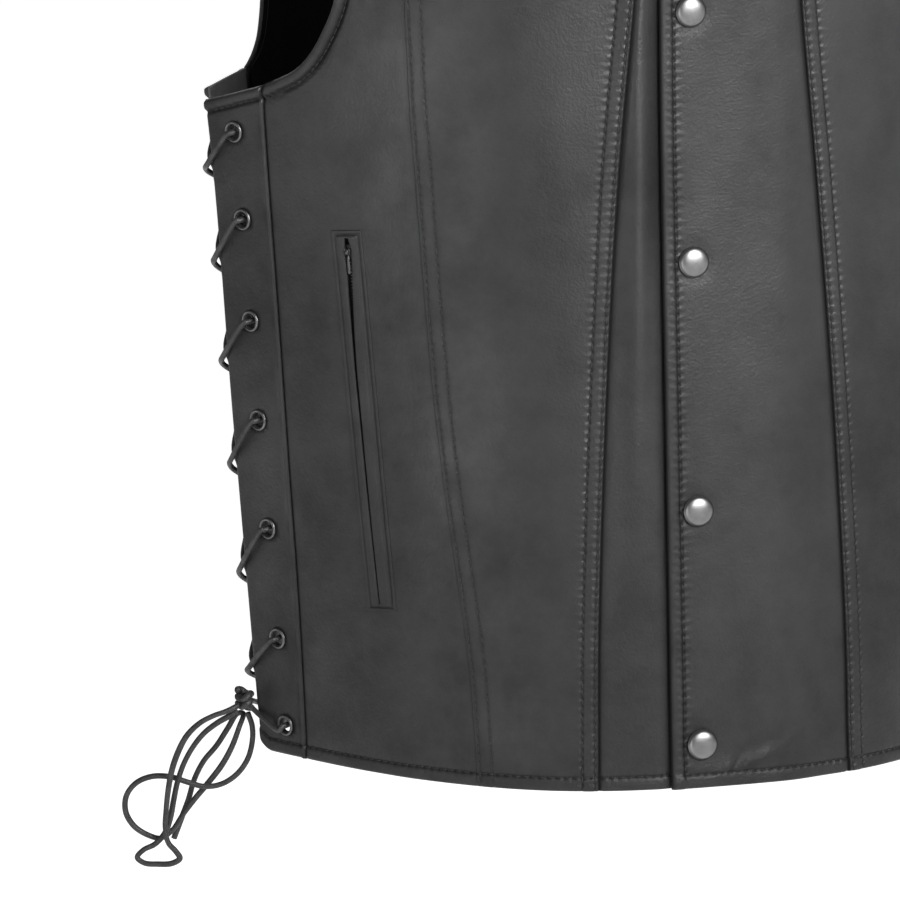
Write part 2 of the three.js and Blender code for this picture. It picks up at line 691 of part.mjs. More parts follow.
function lacing({ name, side }) {
  const count = eyelet.ups.length;
  const walk = (start, startOther) => {
    const points = [];
    let form = start;
    let other = startOther;
    for (let i = 0; i < count; i += 1) {
      points.push(...throughEyelet(form, side, i).reverse());
      if (i < count - 1) points.push(...crossing(form, other, side, i));
      [form, other] = [other, form];
    }
    return points;
  };
  const down = walk(front, back);
  const up = walk(back, front).reverse();
  // Both ends come over their own edge to the knot.
  const lastUp = eyelet.ups[count - 1];
  const backEdge = edgePoint(back, side, lastUp + 3, lace.atEdge);
  const frontEdge = edgePoint(front, side, lastUp + 5, lace.atEdge);
  const atKnot = (point) => {
    const centre = knotCentre(side);
    return centre.clone().lerp(point, (knot.radius + pieceGap) / point.distanceTo(centre));
  };
  const points = [atKnot(backEdge), backEdge, ...up, ...down];
  if (frontEdge.distanceTo(knotCentre(side)) > knot.radius + lace.radius + 1) points.push(frontEdge);
  const path = new LaidCurve(points, false, 'catmullrom', 0.5);
  const tube = new THREE.ExtrudeGeometry(roundSection(lace.radius, lace.sides), {
    steps: points.length - 1, bevelEnabled: false, extrudePath: path,
  });
  add(`side_lacing_${name}`, tube, laceLeather);
}

const knotCentre = (side) => new THREE.Vector3(side * knot.x, knot.y, knot.z);

function hangingLace({ name, side }) {
  const { radius, tall } = knot;
  const ball = turnedPart(
    [[0, -tall], [radius * 0.7, -tall * 0.72], [radius, 0], [radius * 0.7, tall * 0.72], [0, tall]], 8);
  add(`lace_knot_${name}`, ball.translate(...knotCentre(side).toArray()), laceLeather);
  const turn = THREE.MathUtils.degToRad(knot.turnDegrees);
  for (const [kind, route] of Object.entries(hangingLaces)) {
    const points = route.map(([aside, down, near]) => {
      const x = aside * Math.cos(turn) + near * Math.sin(turn);
      const y = aside * Math.sin(turn) - near * Math.cos(turn);
      return knotCentre(side).add(new THREE.Vector3(side * x, y, -down));
    });
    const path = new THREE.CatmullRomCurve3(points, false, 'centripetal');
    const steps = Math.round(path.getLength() / hangingStep);
    const tube = new THREE.ExtrudeGeometry(roundSection(lace.radius, hangingSides), {
      steps, bevelEnabled: false, extrudePath: path,
    });
    add(`${kind}_${name}`, tube, laceLeather);
  }
}

sides.forEach(frontPanels);
backPanels();
eyelets();
snaps();
pockets();
sides.forEach(lacing);
sides.forEach(hangingLace);

export default group;
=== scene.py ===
import math
import bpy
import numpy as np
from mathutils import Matrix, Vector


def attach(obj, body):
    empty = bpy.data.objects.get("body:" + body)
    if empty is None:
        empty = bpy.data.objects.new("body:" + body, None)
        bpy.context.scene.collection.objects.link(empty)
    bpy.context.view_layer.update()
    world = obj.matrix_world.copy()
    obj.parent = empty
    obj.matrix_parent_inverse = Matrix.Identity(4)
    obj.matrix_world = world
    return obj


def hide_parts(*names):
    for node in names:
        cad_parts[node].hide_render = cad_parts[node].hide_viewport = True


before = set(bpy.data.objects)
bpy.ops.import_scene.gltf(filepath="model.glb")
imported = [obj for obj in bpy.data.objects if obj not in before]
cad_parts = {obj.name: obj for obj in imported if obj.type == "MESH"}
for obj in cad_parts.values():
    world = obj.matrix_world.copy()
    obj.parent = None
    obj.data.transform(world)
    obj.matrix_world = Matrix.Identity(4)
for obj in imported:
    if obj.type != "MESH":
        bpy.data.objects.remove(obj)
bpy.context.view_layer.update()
mm = 0.001  # the sizes below are in millimetres, the meshes in metres
print("frame loaded")


# Camera, light and floor

photoCamera = {
    "azimuth": -16.6, "elevation": 10.8, "roll": -0.5,
    "distance": 3.0, "target": (-0.122, -0.105, -0.480),
    "lens": 255.8, "sensor": 36,
}


def makeCamera():
    azimuth, elevation, roll = (math.radians(photoCamera[key]) for key in ("azimuth", "elevation", "roll"))
    level = math.cos(elevation)
    back = Vector((math.sin(azimuth) * level, -math.cos(azimuth) * level, math.sin(elevation)))
    right = Vector((math.cos(azimuth), math.sin(azimuth), 0))
    up = back.cross(right)
    turnedRight = right * math.cos(roll) + up * math.sin(roll)
    turnedUp = up * math.cos(roll) - right * math.sin(roll)
    data = bpy.data.cameras.new("photo_camera")
    data.lens = photoCamera["lens"]
    data.sensor_width = photoCamera["sensor"]
    data.clip_end = 60
    camera = bpy.data.objects.new("photo_camera", data)
    turn = Matrix((turnedRight, turnedUp, back)).transposed().to_4x4()
    place = Vector(photoCamera["target"]) + back * photoCamera["distance"]
    camera.matrix_world = Matrix.Translation(place) @ turn
    bpy.context.scene.collection.objects.link(camera)
    bpy.context.scene.camera = camera


studio = {
    "floorLevel": -1.45, "floorSize": 40, "floorWhite": 0.9, "floorGlow": 0.82,
    "skyWhite": 1.0, "skyLight": 0.2,
    "softboxes": [
        {"name": "key", "at": (0.45, -1.6, 0.55), "size": (1.2, 1.2), "watts": 14, "spread": 70,
         "aim": (0.15, -0.1, 0.1)},
        {"name": "left", "at": (-2.3, -1.6, -0.5), "size": (0.6, 1.4), "watts": 11, "spread": 180,
         "aim": (-0.1, 0, -0.5)},
        {"name": "front", "at": (-0.5, -3.0, 0.9), "size": (1.2, 1.2), "watts": 2, "spread": 180,
         "aim": (-0.05, 0, -0.38)},
        {"name": "behind", "at": (0.9, 2.6, 0.9), "size": (2.4, 2.0), "watts": 24, "spread": 180,
         "aim": (-0.05, 0, -0.38)},
    ],
}


def makeStudio():
    half = studio["floorSize"] / 2
    mesh = bpy.data.meshes.new("floor")
    corners = [(-half, -half), (half, -half), (half, half), (-half, half)]
    mesh.from_pydata([(x, y, studio["floorLevel"]) for x, y in corners], [], [(0, 1, 2, 3)])
    floor = bpy.data.objects.new("floor", mesh)
    bpy.context.scene.collection.objects.link(floor)
    paper = bpy.data.materials.new("white_paper")
    paper.use_nodes = True
    shader = paper.node_tree.nodes["Principled BSDF"]
    white = studio["floorWhite"]
    shader.inputs["Base Color"].default_value = (white, white, white, 1)
    shader.inputs["Roughness"].default_value = 0.9
    shader.inputs["Emission Color"].default_value = (1, 1, 1, 1)
    shader.inputs["Emission Strength"].default_value = studio["floorGlow"]
    mesh.materials.append(paper)

    world = bpy.data.worlds.new("studio")
    bpy.context.scene.world = world
    world.use_nodes = True
    nodes, links = world.node_tree.nodes, world.node_tree.links
    nodes.clear()
    output = nodes.new("ShaderNodeOutputWorld")
    shown = nodes.new("ShaderNodeBackground")
    shown.inputs["Strength"].default_value = studio["skyWhite"]
    shown.inputs["Color"].default_value = (1, 1, 1, 1)
    lit = nodes.new("ShaderNodeBackground")
    lit.inputs["Strength"].default_value = studio["skyLight"]
    lit.inputs["Color"].default_value = (1, 1, 1, 1)
    mixer = nodes.new("ShaderNodeMixShader")
    path = nodes.new("ShaderNodeLightPath")
    links.new(path.outputs["Is Camera Ray"], mixer.inputs[0])
    links.new(lit.outputs[0], mixer.inputs[1])
    links.new(shown.outputs[0], mixer.inputs[2])
    links.new(mixer.outputs[0], output.inputs[0])

    for box in studio["softboxes"]:
        data = bpy.data.lights.new(box["name"], "AREA")
        data.shape = "RECTANGLE"
        data.size, data.size_y = box["size"]
        data.energy = box["watts"]
        data.spread = math.radians(box["spread"])
        light = bpy.data.objects.new(box["name"], data)
        place = Vector(box["at"])
        light.location = place
        light.rotation_euler = (Vector(box["aim"]) - place).to_track_quat("-Z", "Y").to_euler()
        bpy.context.scene.collection.objects.link(light)
    bpy.context.scene.view_settings.view_transform = "Standard"


makeCamera()
makeStudio()
print("camera and studio set")


# Materials

def startMaterial(name):
    material = bpy.data.materials.new(name)
    material.use_nodes = True
    nodes, links = material.node_tree.nodes, material.node_tree.links
    shader = nodes["Principled BSDF"]
    place = nodes.new("ShaderNodeTexCoord").outputs["Object"]
    return material, nodes, links, shader, place


def noiseNode(nodes, links, place, scale, detail=3, rough=0.5, stretch=None):
    if stretch:
        mapping = nodes.new("ShaderNodeMapping")
        mapping.inputs["Scale"].default_value = stretch
        links.new(place, mapping.inputs["Vector"])
        place = mapping.outputs[0]
    noise = nodes.new("ShaderNodeTexNoise")
    noise.inputs["Scale"].default_value = scale
    noise.inputs["Detail"].default_value = detail
    noise.inputs["Roughness"].default_value = rough
    links.new(place, noise.inputs["Vector"])
    return noise.outputs["Fac"]


def rangeNode(nodes, links, value, low, high, toLow, toHigh):
    remap = nodes.new("ShaderNodeMapRange")
    for key, number in (("From Min", low), ("From Max", high), ("To Min", toLow), ("To Max", toHigh)):
        remap.inputs[key].default_value = number
    links.new(value, remap.inputs["Value"])
    return remap.outputs["Result"]


def mathNode(nodes, links, kind, *values):
    node = nodes.new("ShaderNodeMath")
    node.operation = kind
    for socket, value in zip(node.inputs, values):
        if isinstance(value, (int, float)):
            socket.default_value = value
        else:
            links.new(value, socket)
    return node.outputs[0]


def colourNode(nodes, links, factor, dark, light):
    mixer = nodes.new("ShaderNodeMix")
    mixer.data_type = "RGBA"
    mixer.inputs[6].default_value = (*dark, 1)
    mixer.inputs[7].default_value = (*light, 1)
    links.new(factor, mixer.inputs[0])
    return mixer.outputs[2]


def bumpNode(nodes, links, height, strength, distance, under=None):
    bump = nodes.new("ShaderNodeBump")
    bump.inputs["Strength"].default_value = strength
    bump.inputs["Distance"].default_value = abs(distance)
    bump.invert = distance < 0
    links.new(height, bump.inputs["Height"])
    if under is not None:
        links.new(under, bump.inputs["Normal"])
    return bump.outputs[0]


# deep is the near-black of painted shade in seam crevices, edge grooves and stitch rows; dark and light are the
# leather's own tones.
leatherLook = {
    "deep": (0.0006, 0.0006, 0.0006), "dark": (0.0085, 0.0085, 0.0087), "light": (0.026, 0.026, 0.0265),
    "gloss": 0.34, "sidePucker": 0.00045, "endPucker": 0.0003,
    "cloudScale": 11, "mottleScale": 46, "fleckScale": 210,
    "grainScale": 520, "poreScale": 900, "creaseScale": 30, "waveScale": 12,
    "smooth": 0.36, "matt": 0.58, "grainDepth": 0.0003, "creaseDepth": 0.0007, "waveDepth": 0.010,
}
stitchLook = {
    "pitch": 4.1, "length": 3.3, "radius": 0.34, "rise": 0.34, "around": 6, "holeRadius": 0.42,
    "dipDepth": 0.0005,
}


def attributeNode(nodes, name):
    attribute = nodes.new("ShaderNodeAttribute")
    attribute.attribute_name = name
    return attribute.outputs["Fac"]


# 1 at each needle hole of a row and 0 half-way along the stitch.
def stitchWave(nodes, links, family):
    turn = mathNode(nodes, links, "MULTIPLY", attributeNode(nodes, family + "Run"), 2 * math.pi / stitchLook["pitch"])
    cosine = mathNode(nodes, links, "COSINE", turn)
    return mathNode(nodes, links, "MULTIPLY_ADD", cosine, 0.5, 0.5)


def leatherMaterial(name, paintedLightGain=1.0, grain=1.0):
    look = leatherLook
    material, nodes, links, shader, place = startMaterial(name)
    cloud = noiseNode(nodes, links, place, look["cloudScale"], 4, 0.55)
    mottle = noiseNode(nodes, links, place, look["mottleScale"], 5, 0.6)
    fleck = noiseNode(nodes, links, place, look["fleckScale"], 4, 0.7)
    wear = mathNode(nodes, links, "MULTIPLY", cloud, 0.5)
    wear = mathNode(nodes, links, "MULTIPLY_ADD", mottle, 0.35, wear)
    wear = mathNode(nodes, links, "MULTIPLY_ADD", fleck, 0.15, wear)
    shade = rangeNode(nodes, links, wear, 0.38, 0.62, 0, 1)
    dark = tuple(channel * paintedLightGain for channel in look["dark"])
    light = tuple(channel * paintedLightGain for channel in look["light"])
    worn = colourNode(nodes, links, shade, dark, light)
    # Painted shade: the stitch rows' dips and the groove attribute pull the base colour towards the near-black deep
    # colour, drawing the shadow of seam crevices, edges and needle holes.
    dips = [mathNode(nodes, links, "MULTIPLY", attributeNode(nodes, family + "Row"),
                     stitchWave(nodes, links, family)) for family in ("side", "end")]
    dip = mathNode(nodes, links, "MAXIMUM", *dips)
    groove = mathNode(nodes, links, "MAXIMUM", attributeNode(nodes, "groove"),
                      mathNode(nodes, links, "MULTIPLY", dip, 0.85))
    # mix node that paints that shade into the base colour
    paintedShadeMix = nodes.new("ShaderNodeMix")
    paintedShadeMix.data_type = "RGBA"
    paintedShadeMix.inputs[7].default_value = (*look["deep"], 1)
    links.new(groove, paintedShadeMix.inputs[0])
    links.new(worn, paintedShadeMix.inputs[6])
    links.new(paintedShadeMix.outputs[2], shader.inputs["Base Color"])
    rough = rangeNode(nodes, links, wear, 0.38, 0.62, look["matt"], look["smooth"])
    links.new(mathNode(nodes, links, "MAXIMUM", rough, groove), shader.inputs["Roughness"])
    shader.inputs["Specular IOR Level"].default_value = look["gloss"]
    cells = nodes.new("ShaderNodeTexVoronoi")
    cells.feature = "SMOOTH_F1"
    cells.inputs["Scale"].default_value = look["poreScale"]
    warp = nodes.new("ShaderNodeTexNoise")
    warp.inputs["Scale"].default_value = look["grainScale"] / 3
    warp.inputs["Detail"].default_value = 2
    links.new(place, warp.inputs["Vector"])
    shift = nodes.new("ShaderNodeMixRGB")
    shift.blend_type = "ADD"
    shift.inputs["Fac"].default_value = 0.0016
    links.new(place, shift.inputs["Color1"])
    links.new(warp.outputs["Color"], shift.inputs["Color2"])
    links.new(shift.outputs[0], cells.inputs["Vector"])
    pebble = mathNode(nodes, links, "ADD", mathNode(nodes, links, "MULTIPLY", cells.outputs["Distance"], 0.6),
                      noiseNode(nodes, links, place, look["grainScale"], 3, 0.6))
    wave = noiseNode(nodes, links, place, look["waveScale"], 2, 0.4, (1, 1, 0.5))
    normal = bumpNode(nodes, links, wave, 0.5 * grain, look["waveDepth"])
    crease = noiseNode(nodes, links, place, look["creaseScale"], 3, 0.55, (1, 1, 0.6))
    normal = bumpNode(nodes, links, crease, 0.5 * grain, look["creaseDepth"], normal)
    normal = bumpNode(nodes, links, dip, 1, -stitchLook["dipDepth"], normal)
    for family, depth in (("side", look["sidePucker"]), ("end", look["endPucker"])):
        gathers = mathNode(nodes, links, "MULTIPLY", attributeNode(nodes, family + "Pucker"),
                           stitchWave(nodes, links, family))
        normal = bumpNode(nodes, links, gathers, 1, -depth, normal)
    normal = bumpNode(nodes, links, pebble, 0.6 * grain, look["grainDepth"], normal)
    links.new(normal, shader.inputs["Normal"])
    return material


def plainMaterial(name, dark, light, roughness, scale=60, grainScale=700, depth=0.0001, metal=0.0, gloss=0.5):
    material, nodes, links, shader, place = startMaterial(name)
    cloud = noiseNode(nodes, links, place, scale, 4, 0.6)
    links.new(colourNode(nodes, links, rangeNode(nodes, links, cloud, 0.35, 0.65, 0, 1), dark, light),
              shader.inputs["Base Color"])
    links.new(rangeNode(nodes, links, cloud, 0.3, 0.7, roughness[1], roughness[0]), shader.inputs["Roughness"])
    shader.inputs["Metallic"].default_value = metal
    shader.inputs["Specular IOR Level"].default_value = gloss
    fine = noiseNode(nodes, links, place, grainScale, 3, 0.6)
    links.new(bumpNode(nodes, links, fine, 0.5, depth), shader.inputs["Normal"])
    return material


materials = {
    "leather": leatherMaterial("black_leather"),
    # The facing lies in shade inside the lace panels; its colour is lifted 3.6 times as painted light.
    "facing": leatherMaterial("leather_facing_painted_lit", paintedLightGain=3.6),
    "inside": plainMaterial("leather_inside", (0.005, 0.005, 0.005), (0.011, 0.011, 0.011), (0.8, 0.95),
                            scale=120, grainScale=900, depth=0.0004),
    "lining": plainMaterial("lining_satin", (0.0007, 0.0007, 0.0008), (0.0024, 0.0024, 0.0026), (0.5, 0.65),
                            scale=30, grainScale=2400, depth=0.00005, gloss=0.12),
    "thread": plainMaterial("thread", (0.008, 0.008, 0.0085), (0.020, 0.020, 0.021), (0.65, 0.85), scale=900,
                            grainScale=2600, depth=0.0001),
    # near-black discs of painted shade at the needle holes
    "hole": plainMaterial("needle_hole_painted_shade", (0.001, 0.001, 0.001), (0.003, 0.003, 0.003), (0.9, 1.0)),
    "lace": plainMaterial("lace_leather", (0.011, 0.011, 0.0115), (0.030, 0.030, 0.031), (0.42, 0.62), scale=160,
                          grainScale=900, depth=0.0004),
    "snap": plainMaterial("snap_metal", (0.19, 0.19, 0.19), (0.25, 0.25, 0.247), (0.32, 0.38), scale=160,
                          grainScale=900, depth=0.00002, metal=1.0),
    "dark_metal": plainMaterial("dark_metal", (0.10, 0.10, 0.102), (0.18, 0.18, 0.182), (0.33, 0.5), scale=300,
                                grainScale=900, depth=0.00008, metal=1.0),
    "slider": plainMaterial("painted_metal", (0.008, 0.008, 0.008), (0.018, 0.018, 0.018), (0.4, 0.55), scale=300),
    "pull": plainMaterial("pull_metal", (0.07, 0.07, 0.07), (0.12, 0.12, 0.12), (0.42, 0.55), scale=300,
                          grainScale=900, depth=0.00005, metal=1.0),
    "zip": plainMaterial("zip_tape", (0.004, 0.004, 0.004), (0.009, 0.009, 0.009), (0.7, 0.9), scale=700,
                         grainScale=1500, depth=0.0002),
}
print("materials made")


# The leather's form: x is across and up is the height along the leather, over the shoulder too

levels = {"hem": -640, "underarm": -322, "frontBreak": -258, "frontSeamTop": -312, "backSeamTop": -314,
          "backEdgeTop": -319}
wallThick = 2
pieceGap = 0.3
inset = pieceGap / 2
seamTuck = 0.9  # how far a panel reaches under the one that is sewn over it
shoulder = {"neckHalf": 78, "neckHeight": 15, "tipHalf": 188, "slope": 0.344, "round": 30, "backDrop": 50}

frontForm = {
    "side": -1, "bow": 2.7, "sideGap": 11, "drop": 190, "arc": 220, "rollBow": 1.8,
    "sections": [
        {"up": -640, "half": 191, "depth": 153},
        {"up": -481, "half": 202.5, "depth": 145},
        {"up": -322, "half": 214, "depth": 137},
        {"up": -200, "half": 234, "depth": 136},
        {"up": -60, "half": 252, "depth": 133},
        {"up": 60, "half": 258, "depth": 132},
    ],
    "folds": [
        {"x": -41, "up": -350, "rise": 2.4, "across": 8, "along": 120},
        {"x": -92, "up": -575, "rise": 1.6, "across": 24, "along": 55},
        {"x": -150, "up": -470, "rise": -1.6, "across": 16, "along": 90},
        {"x": 96, "up": -400, "rise": -1.8, "across": 22, "along": 80},
        {"x": 128, "up": -560, "rise": 1.6, "across": 20, "along": 70},
        {"x": 150, "up": -340, "rise": 1.6, "across": 18, "along": 60},
    ],
}
backForm = {
    "side": 1, "bow": 2.6, "sideGap": 11, "drop": 165, "arc": 190, "rollBow": 1.8,
    "sections": [
        {"up": -640, "half": 184, "depth": 92},
        {"up": -500, "half": 194, "depth": 88},
        {"up": -322, "half": 207, "depth": 100},
        {"up": -200, "half": 228, "depth": 106},
        {"up": -60, "half": 246, "depth": 105},
        {"up": 60, "half": 250, "depth": 104},
    ],
    "folds": [
        {"x": -74, "up": -480, "rise": -3.2, "across": 17, "along": 105},
        {"x": -38, "up": -535, "rise": 2.6, "across": 15, "along": 90},
        {"x": 6, "up": -455, "rise": -2.4, "across": 14, "along": 120},
        {"x": 52, "up": -520, "rise": 2.8, "across": 18, "along": 95},
        {"x": 97, "up": -470, "rise": -3, "across": 16, "along": 110},
        {"x": -120, "up": -300, "rise": -2.2, "across": 20, "along": 60},
        {"x": 126, "up": -286, "rise": -2, "across": 18, "along": 70},
    ],
}


def mix(a, b, t):
    return a + (b - a) * t


def soft(t):
    s = np.clip(t, 0, 1)
    return s * s * (3 - 2 * s)


def follow(rows, column, up):
    ups = np.array([row["up"] for row in rows], float)
    values = np.array([row[column] for row in rows], float)
    last = len(rows) - 1
    before, after = np.maximum(np.arange(last + 1) - 1, 0), np.minimum(np.arange(last + 1) + 1, last)
    slopes = (values[after] - values[before]) / (ups[after] - ups[before])
    level = np.clip(up, ups[0], ups[-1])
    i = np.clip(np.searchsorted(ups, level, side="right") - 1, 0, last - 1)
    span = ups[i + 1] - ups[i]
    t = (level - ups[i]) / span
    a, b = values[i], values[i + 1]
    bend = slopes[i] * span * (1 - t) - slopes[i + 1] * span * t + (b - a) * (2 * t - 1)
    return mix(a, b, t) + t * (1 - t) * bend


def ridgeHeight(x):
    return shoulder["neckHeight"] - shoulder["slope"] * (
        np.hypot(x, shoulder["round"]) - math.hypot(shoulder["neckHalf"], shoulder["round"]))


def ridgeUp(form, x):
    return ridgeHeight(x) - form["drop"] + form["arc"]


def foldRise(form, x, up):
    rise = 0 * x
    for fold in form["folds"]:
        rise = rise + fold["rise"] * np.exp(-(((x - fold["x"]) / fold["across"]) ** 2)
                                            - ((up - fold["up"]) / fold["along"]) ** 2)
    return rise


def clothPoint(form, x, up):
    half = follow(form["sections"], "half", up)
    depth = follow(form["sections"], "depth", up)
    start = ridgeHeight(x) - form["drop"]
    angle = np.clip((up - start) / form["arc"], 0, 1) * math.pi / 2
    height = form["drop"] * np.sin(angle) ** (2 / form["rollBow"])
    reach = np.maximum(0, np.cos(angle)) ** (2 / form["rollBow"])
    across = np.minimum(1, np.abs(x) / half) ** form["bow"]
    out = (form["sideGap"] + (depth - form["sideGap"]) * (1 - across) + foldRise(form, x, up)) * reach
    z = np.where(up > start, start + height, up)
    return np.stack([x + 0 * up, form["side"] * (out + pieceGap / 2), z + 0 * x], axis=-1)


def unit(v):
    return v / np.maximum(np.linalg.norm(v, axis=-1, keepdims=True), 1e-9)


def clothFrame(form, x, up):
    step = 0.5
    across = clothPoint(form, x + step, up) - clothPoint(form, x - step, up)
    above = clothPoint(form, x, up + step) - clothPoint(form, x, up - step)
    out = unit(np.cross(across, above)) * -form["side"]
    stretch = np.linalg.norm(across, axis=-1) / (2 * step)
    return unit(across), unit(above), out, stretch


def clothAt(form, x, up, rise):
    out = clothFrame(form, x, up)[2]
    return clothPoint(form, x, up) + out * np.asarray(rise)[..., None]


# Seams and edges of one front and of the back, on the wearer's left

seams = {
    "band": [
        {"up": -640, "x": 62.5}, {"up": -560, "x": 61}, {"up": -450, "x": 55.5}, {"up": -350, "x": 48.5},
        {"up": -270, "x": 41}, {"up": -180, "x": 34}, {"up": -60, "x": 26},
    ],
    "princess": [
        {"up": -640, "x": 114}, {"up": -580, "x": 117.5}, {"up": -500, "x": 126}, {"up": -450, "x": 130.5},
        {"up": -360, "x": 136}, {"up": -270, "x": 141}, {"up": -150, "x": 146}, {"up": -40, "x": 143},
        {"up": 60, "x": 137},
    ],
    "frontSide": [
        {"up": -640, "x": 176}, {"up": -570, "x": 179}, {"up": -485, "x": 184}, {"up": -400, "x": 188.7},
        {"up": -312, "x": 194},
    ],
    "frontArmhole": [
        {"up": -312, "x": 194}, {"up": -305, "x": 184}, {"up": -298, "x": 178.5}, {"up": -287, "x": 173.5},
        {"up": -270, "x": 168.5}, {"up": -235, "x": 164}, {"up": -195, "x": 163}, {"up": -150, "x": 165},
        {"up": -100, "x": 170}, {"up": -55, "x": 176.5}, {"up": -20, "x": 183}, {"up": 8.3, "x": 188},
    ],
    "backSide": [{"up": -640, "x": 160}, {"up": -500, "x": 169}, {"up": -314, "x": 182}],
    "backArmhole": [
        {"up": -314, "x": 182}, {"up": -308, "x": 176}, {"up": -298, "x": 171.5}, {"up": -275, "x": 168},
        {"up": -235, "x": 167}, {"up": -180, "x": 168.5}, {"up": -120, "x": 172.5}, {"up": -70, "x": 178},
        {"up": -25, "x": 184}, {"up": 3.3, "x": 188},
    ],
}
neckBow = 0.93
bandRow = 14
frontRows = [
    {"arm": -640, "princess": -640, "band": -640}, {"arm": -592, "princess": -592, "band": -592},
    {"arm": -544, "princess": -544, "band": -544}, {"arm": -496, "princess": -496, "band": -496},
    {"arm": -450, "princess": -450, "band": -450}, {"arm": -404, "princess": -406, "band": -406},
    {"arm": -358, "princess": -364, "band": -364}, {"arm": -312, "princess": -330, "band": -330},
    {"arm": -303, "princess": -308, "band": -308}, {"arm": -288, "princess": -286, "band": -284},
    {"arm": -262, "princess": -258, "band": -258}, {"arm": -225, "princess": -222, "band": -222},
    {"arm": -180, "princess": -178, "band": -180}, {"arm": -135, "princess": -135, "band": -138},
    {"arm": -97, "princess": -94, "band": -100}, {"arm": -62, "princess": -55, "band": -58},
    {"arm": -34, "princess": -20, "band": -16}, {"arm": -13, "princess": 6, "band": 20},
    {"arm": 8.3, "princess": 25.6, "band": 45},
]
backRows = [-640, -590, -540, -490, -440, -398, -356, -314, -303, -286, -258, -220, -175, -132, -92, -58,
            -30, -10, 3.3]
wearerSides = [
    {"name": "right", "side": -1, "past": 24, "lift": 0},
    {"name": "left", "side": 1, "past": 29, "lift": 2.4},
]
overlap = {"start": 27, "end": 54}


def neckEdge(style, up):
    t = (up - levels["frontBreak"]) / (ridgeUp(frontForm, shoulder["neckHalf"]) - levels["frontBreak"])
    return mix(-style["past"], shoulder["neckHalf"], np.clip(t, 0, 1) ** neckBow)


def bandTop(style):
    low, high = levels["frontBreak"], -60
    for _ in range(30):
        middle = (low + high) / 2
        if neckEdge(style, middle) < follow(seams["band"], "x", middle):
            low = middle
        else:
            high = middle
    return low


def toRidge(form, x, up, s, t, nearX, farX):
    straight = mix(ridgeUp(form, nearX), ridgeUp(form, farX), s)
    return up + (ridgeUp(form, x) - straight) * soft((t - 0.6) / 0.4)


def frontHalf(up):
    return follow(frontForm["sections"], "half", up)


def backHalf(up):
    return follow(backForm["sections"], "half", up)


def rowLevel(t, column, top=None):
    values = [row[column] for row in frontRows]
    if top is not None:
        values[bandRow] = top
    return np.interp(t * (len(values) - 1), np.arange(len(values)), values)


# Where each panel lies: every function gives x and up for shares across and up the panel

# The rounded lower corner of a lace panel: how far its hem rises there.
def laceCorner(s, t):
    return 5.5 * np.clip((s - 0.72) / 0.28, 0, 1) ** 3 * np.clip(1 - t * 14, 0, 1)


def frontLacePlace(style):
    def place(s, t):
        innerUp = mix(levels["hem"], levels["frontSeamTop"] - pieceGap, t)
        innerX = follow(seams["frontSide"], "x", innerUp) + inset
        outerUp = mix(levels["hem"], levels["underarm"], t)
        return mix(innerX, frontHalf(outerUp), s), mix(innerUp, outerUp, s) + laceCorner(s, t)
    return place


def frontSidePlace(style):
    def place(s, t):
        armUp, seamUp = rowLevel(t, "arm"), rowLevel(t, "princess")
        onArm = armUp > levels["frontSeamTop"]
        tuck = seamTuck * (1 - soft((armUp - levels["frontSeamTop"] + 4) / 4))
        armX = np.where(onArm, follow(seams["frontArmhole"], "x", armUp),
                        follow(seams["frontSide"], "x", armUp) + tuck)
        seamX = follow(seams["princess"], "x", seamUp) - seamTuck
        x = mix(seamX, armX, s)
        return x, toRidge(frontForm, x, mix(seamUp, armUp, s), s, t, seamX, armX)
    return place


def frontMiddlePlace(style):
    top = bandTop(style)

    def place(s, t):
        bandUp, seamUp = rowLevel(t, "band", top), rowLevel(t, "princess")
        bandX = np.where(bandUp >= top, neckEdge(style, bandUp), follow(seams["band"], "x", bandUp) + inset)
        seamX = follow(seams["princess"], "x", seamUp) - inset
        x = mix(bandX, seamX, s)
        return x, toRidge(frontForm, x, mix(bandUp, seamUp, s), s, t, bandX, seamX)
    return place


def frontBandPlace(style):
    top = bandTop(style)
    values = [row["band"] for row in frontRows[:bandRow]] + [top - 1.2]

    def place(s, t):
        up = np.interp(t * bandRow, np.arange(bandRow + 1), values)
        freeX = np.where(up > levels["frontBreak"], neckEdge(style, up), -style["past"])
        return mix(freeX, follow(seams["band"], "x", up) + seamTuck, s), up + 0 * s
    return place


def backTop(x):
    dip = np.maximum(0, 1 - (x / shoulder["neckHalf"]) ** 2) ** 0.8
    return ridgeUp(backForm, x) - shoulder["backDrop"] * dip


def backPlace(s, t):
    up = np.interp(t * (len(backRows) - 1), np.arange(len(backRows)), backRows)
    tuck = seamTuck * (1 - soft((up - levels["backSeamTop"] + 4) / 4))
    edge = np.where(up > levels["backSeamTop"], follow(seams["backArmhole"], "x", up),
                    follow(seams["backSide"], "x", up) + tuck)
    x = (2 * s - 1) * edge
    tipUp = ridgeUp(backForm, shoulder["tipHalf"])
    climb = soft((up - levels["underarm"]) / (tipUp - levels["underarm"]))
    return x, up + (backTop(x) - tipUp) * climb


def backLacePlace(style):
    def place(s, t):
        innerUp = mix(levels["hem"], levels["backSeamTop"], t)
        outerUp = mix(levels["hem"], levels["backEdgeTop"], t)
        x = mix(follow(seams["backSide"], "x", innerUp) + inset, backHalf(outerUp), s)
        return x, mix(innerUp, outerUp, s) + laceCorner(s, t)
    return place
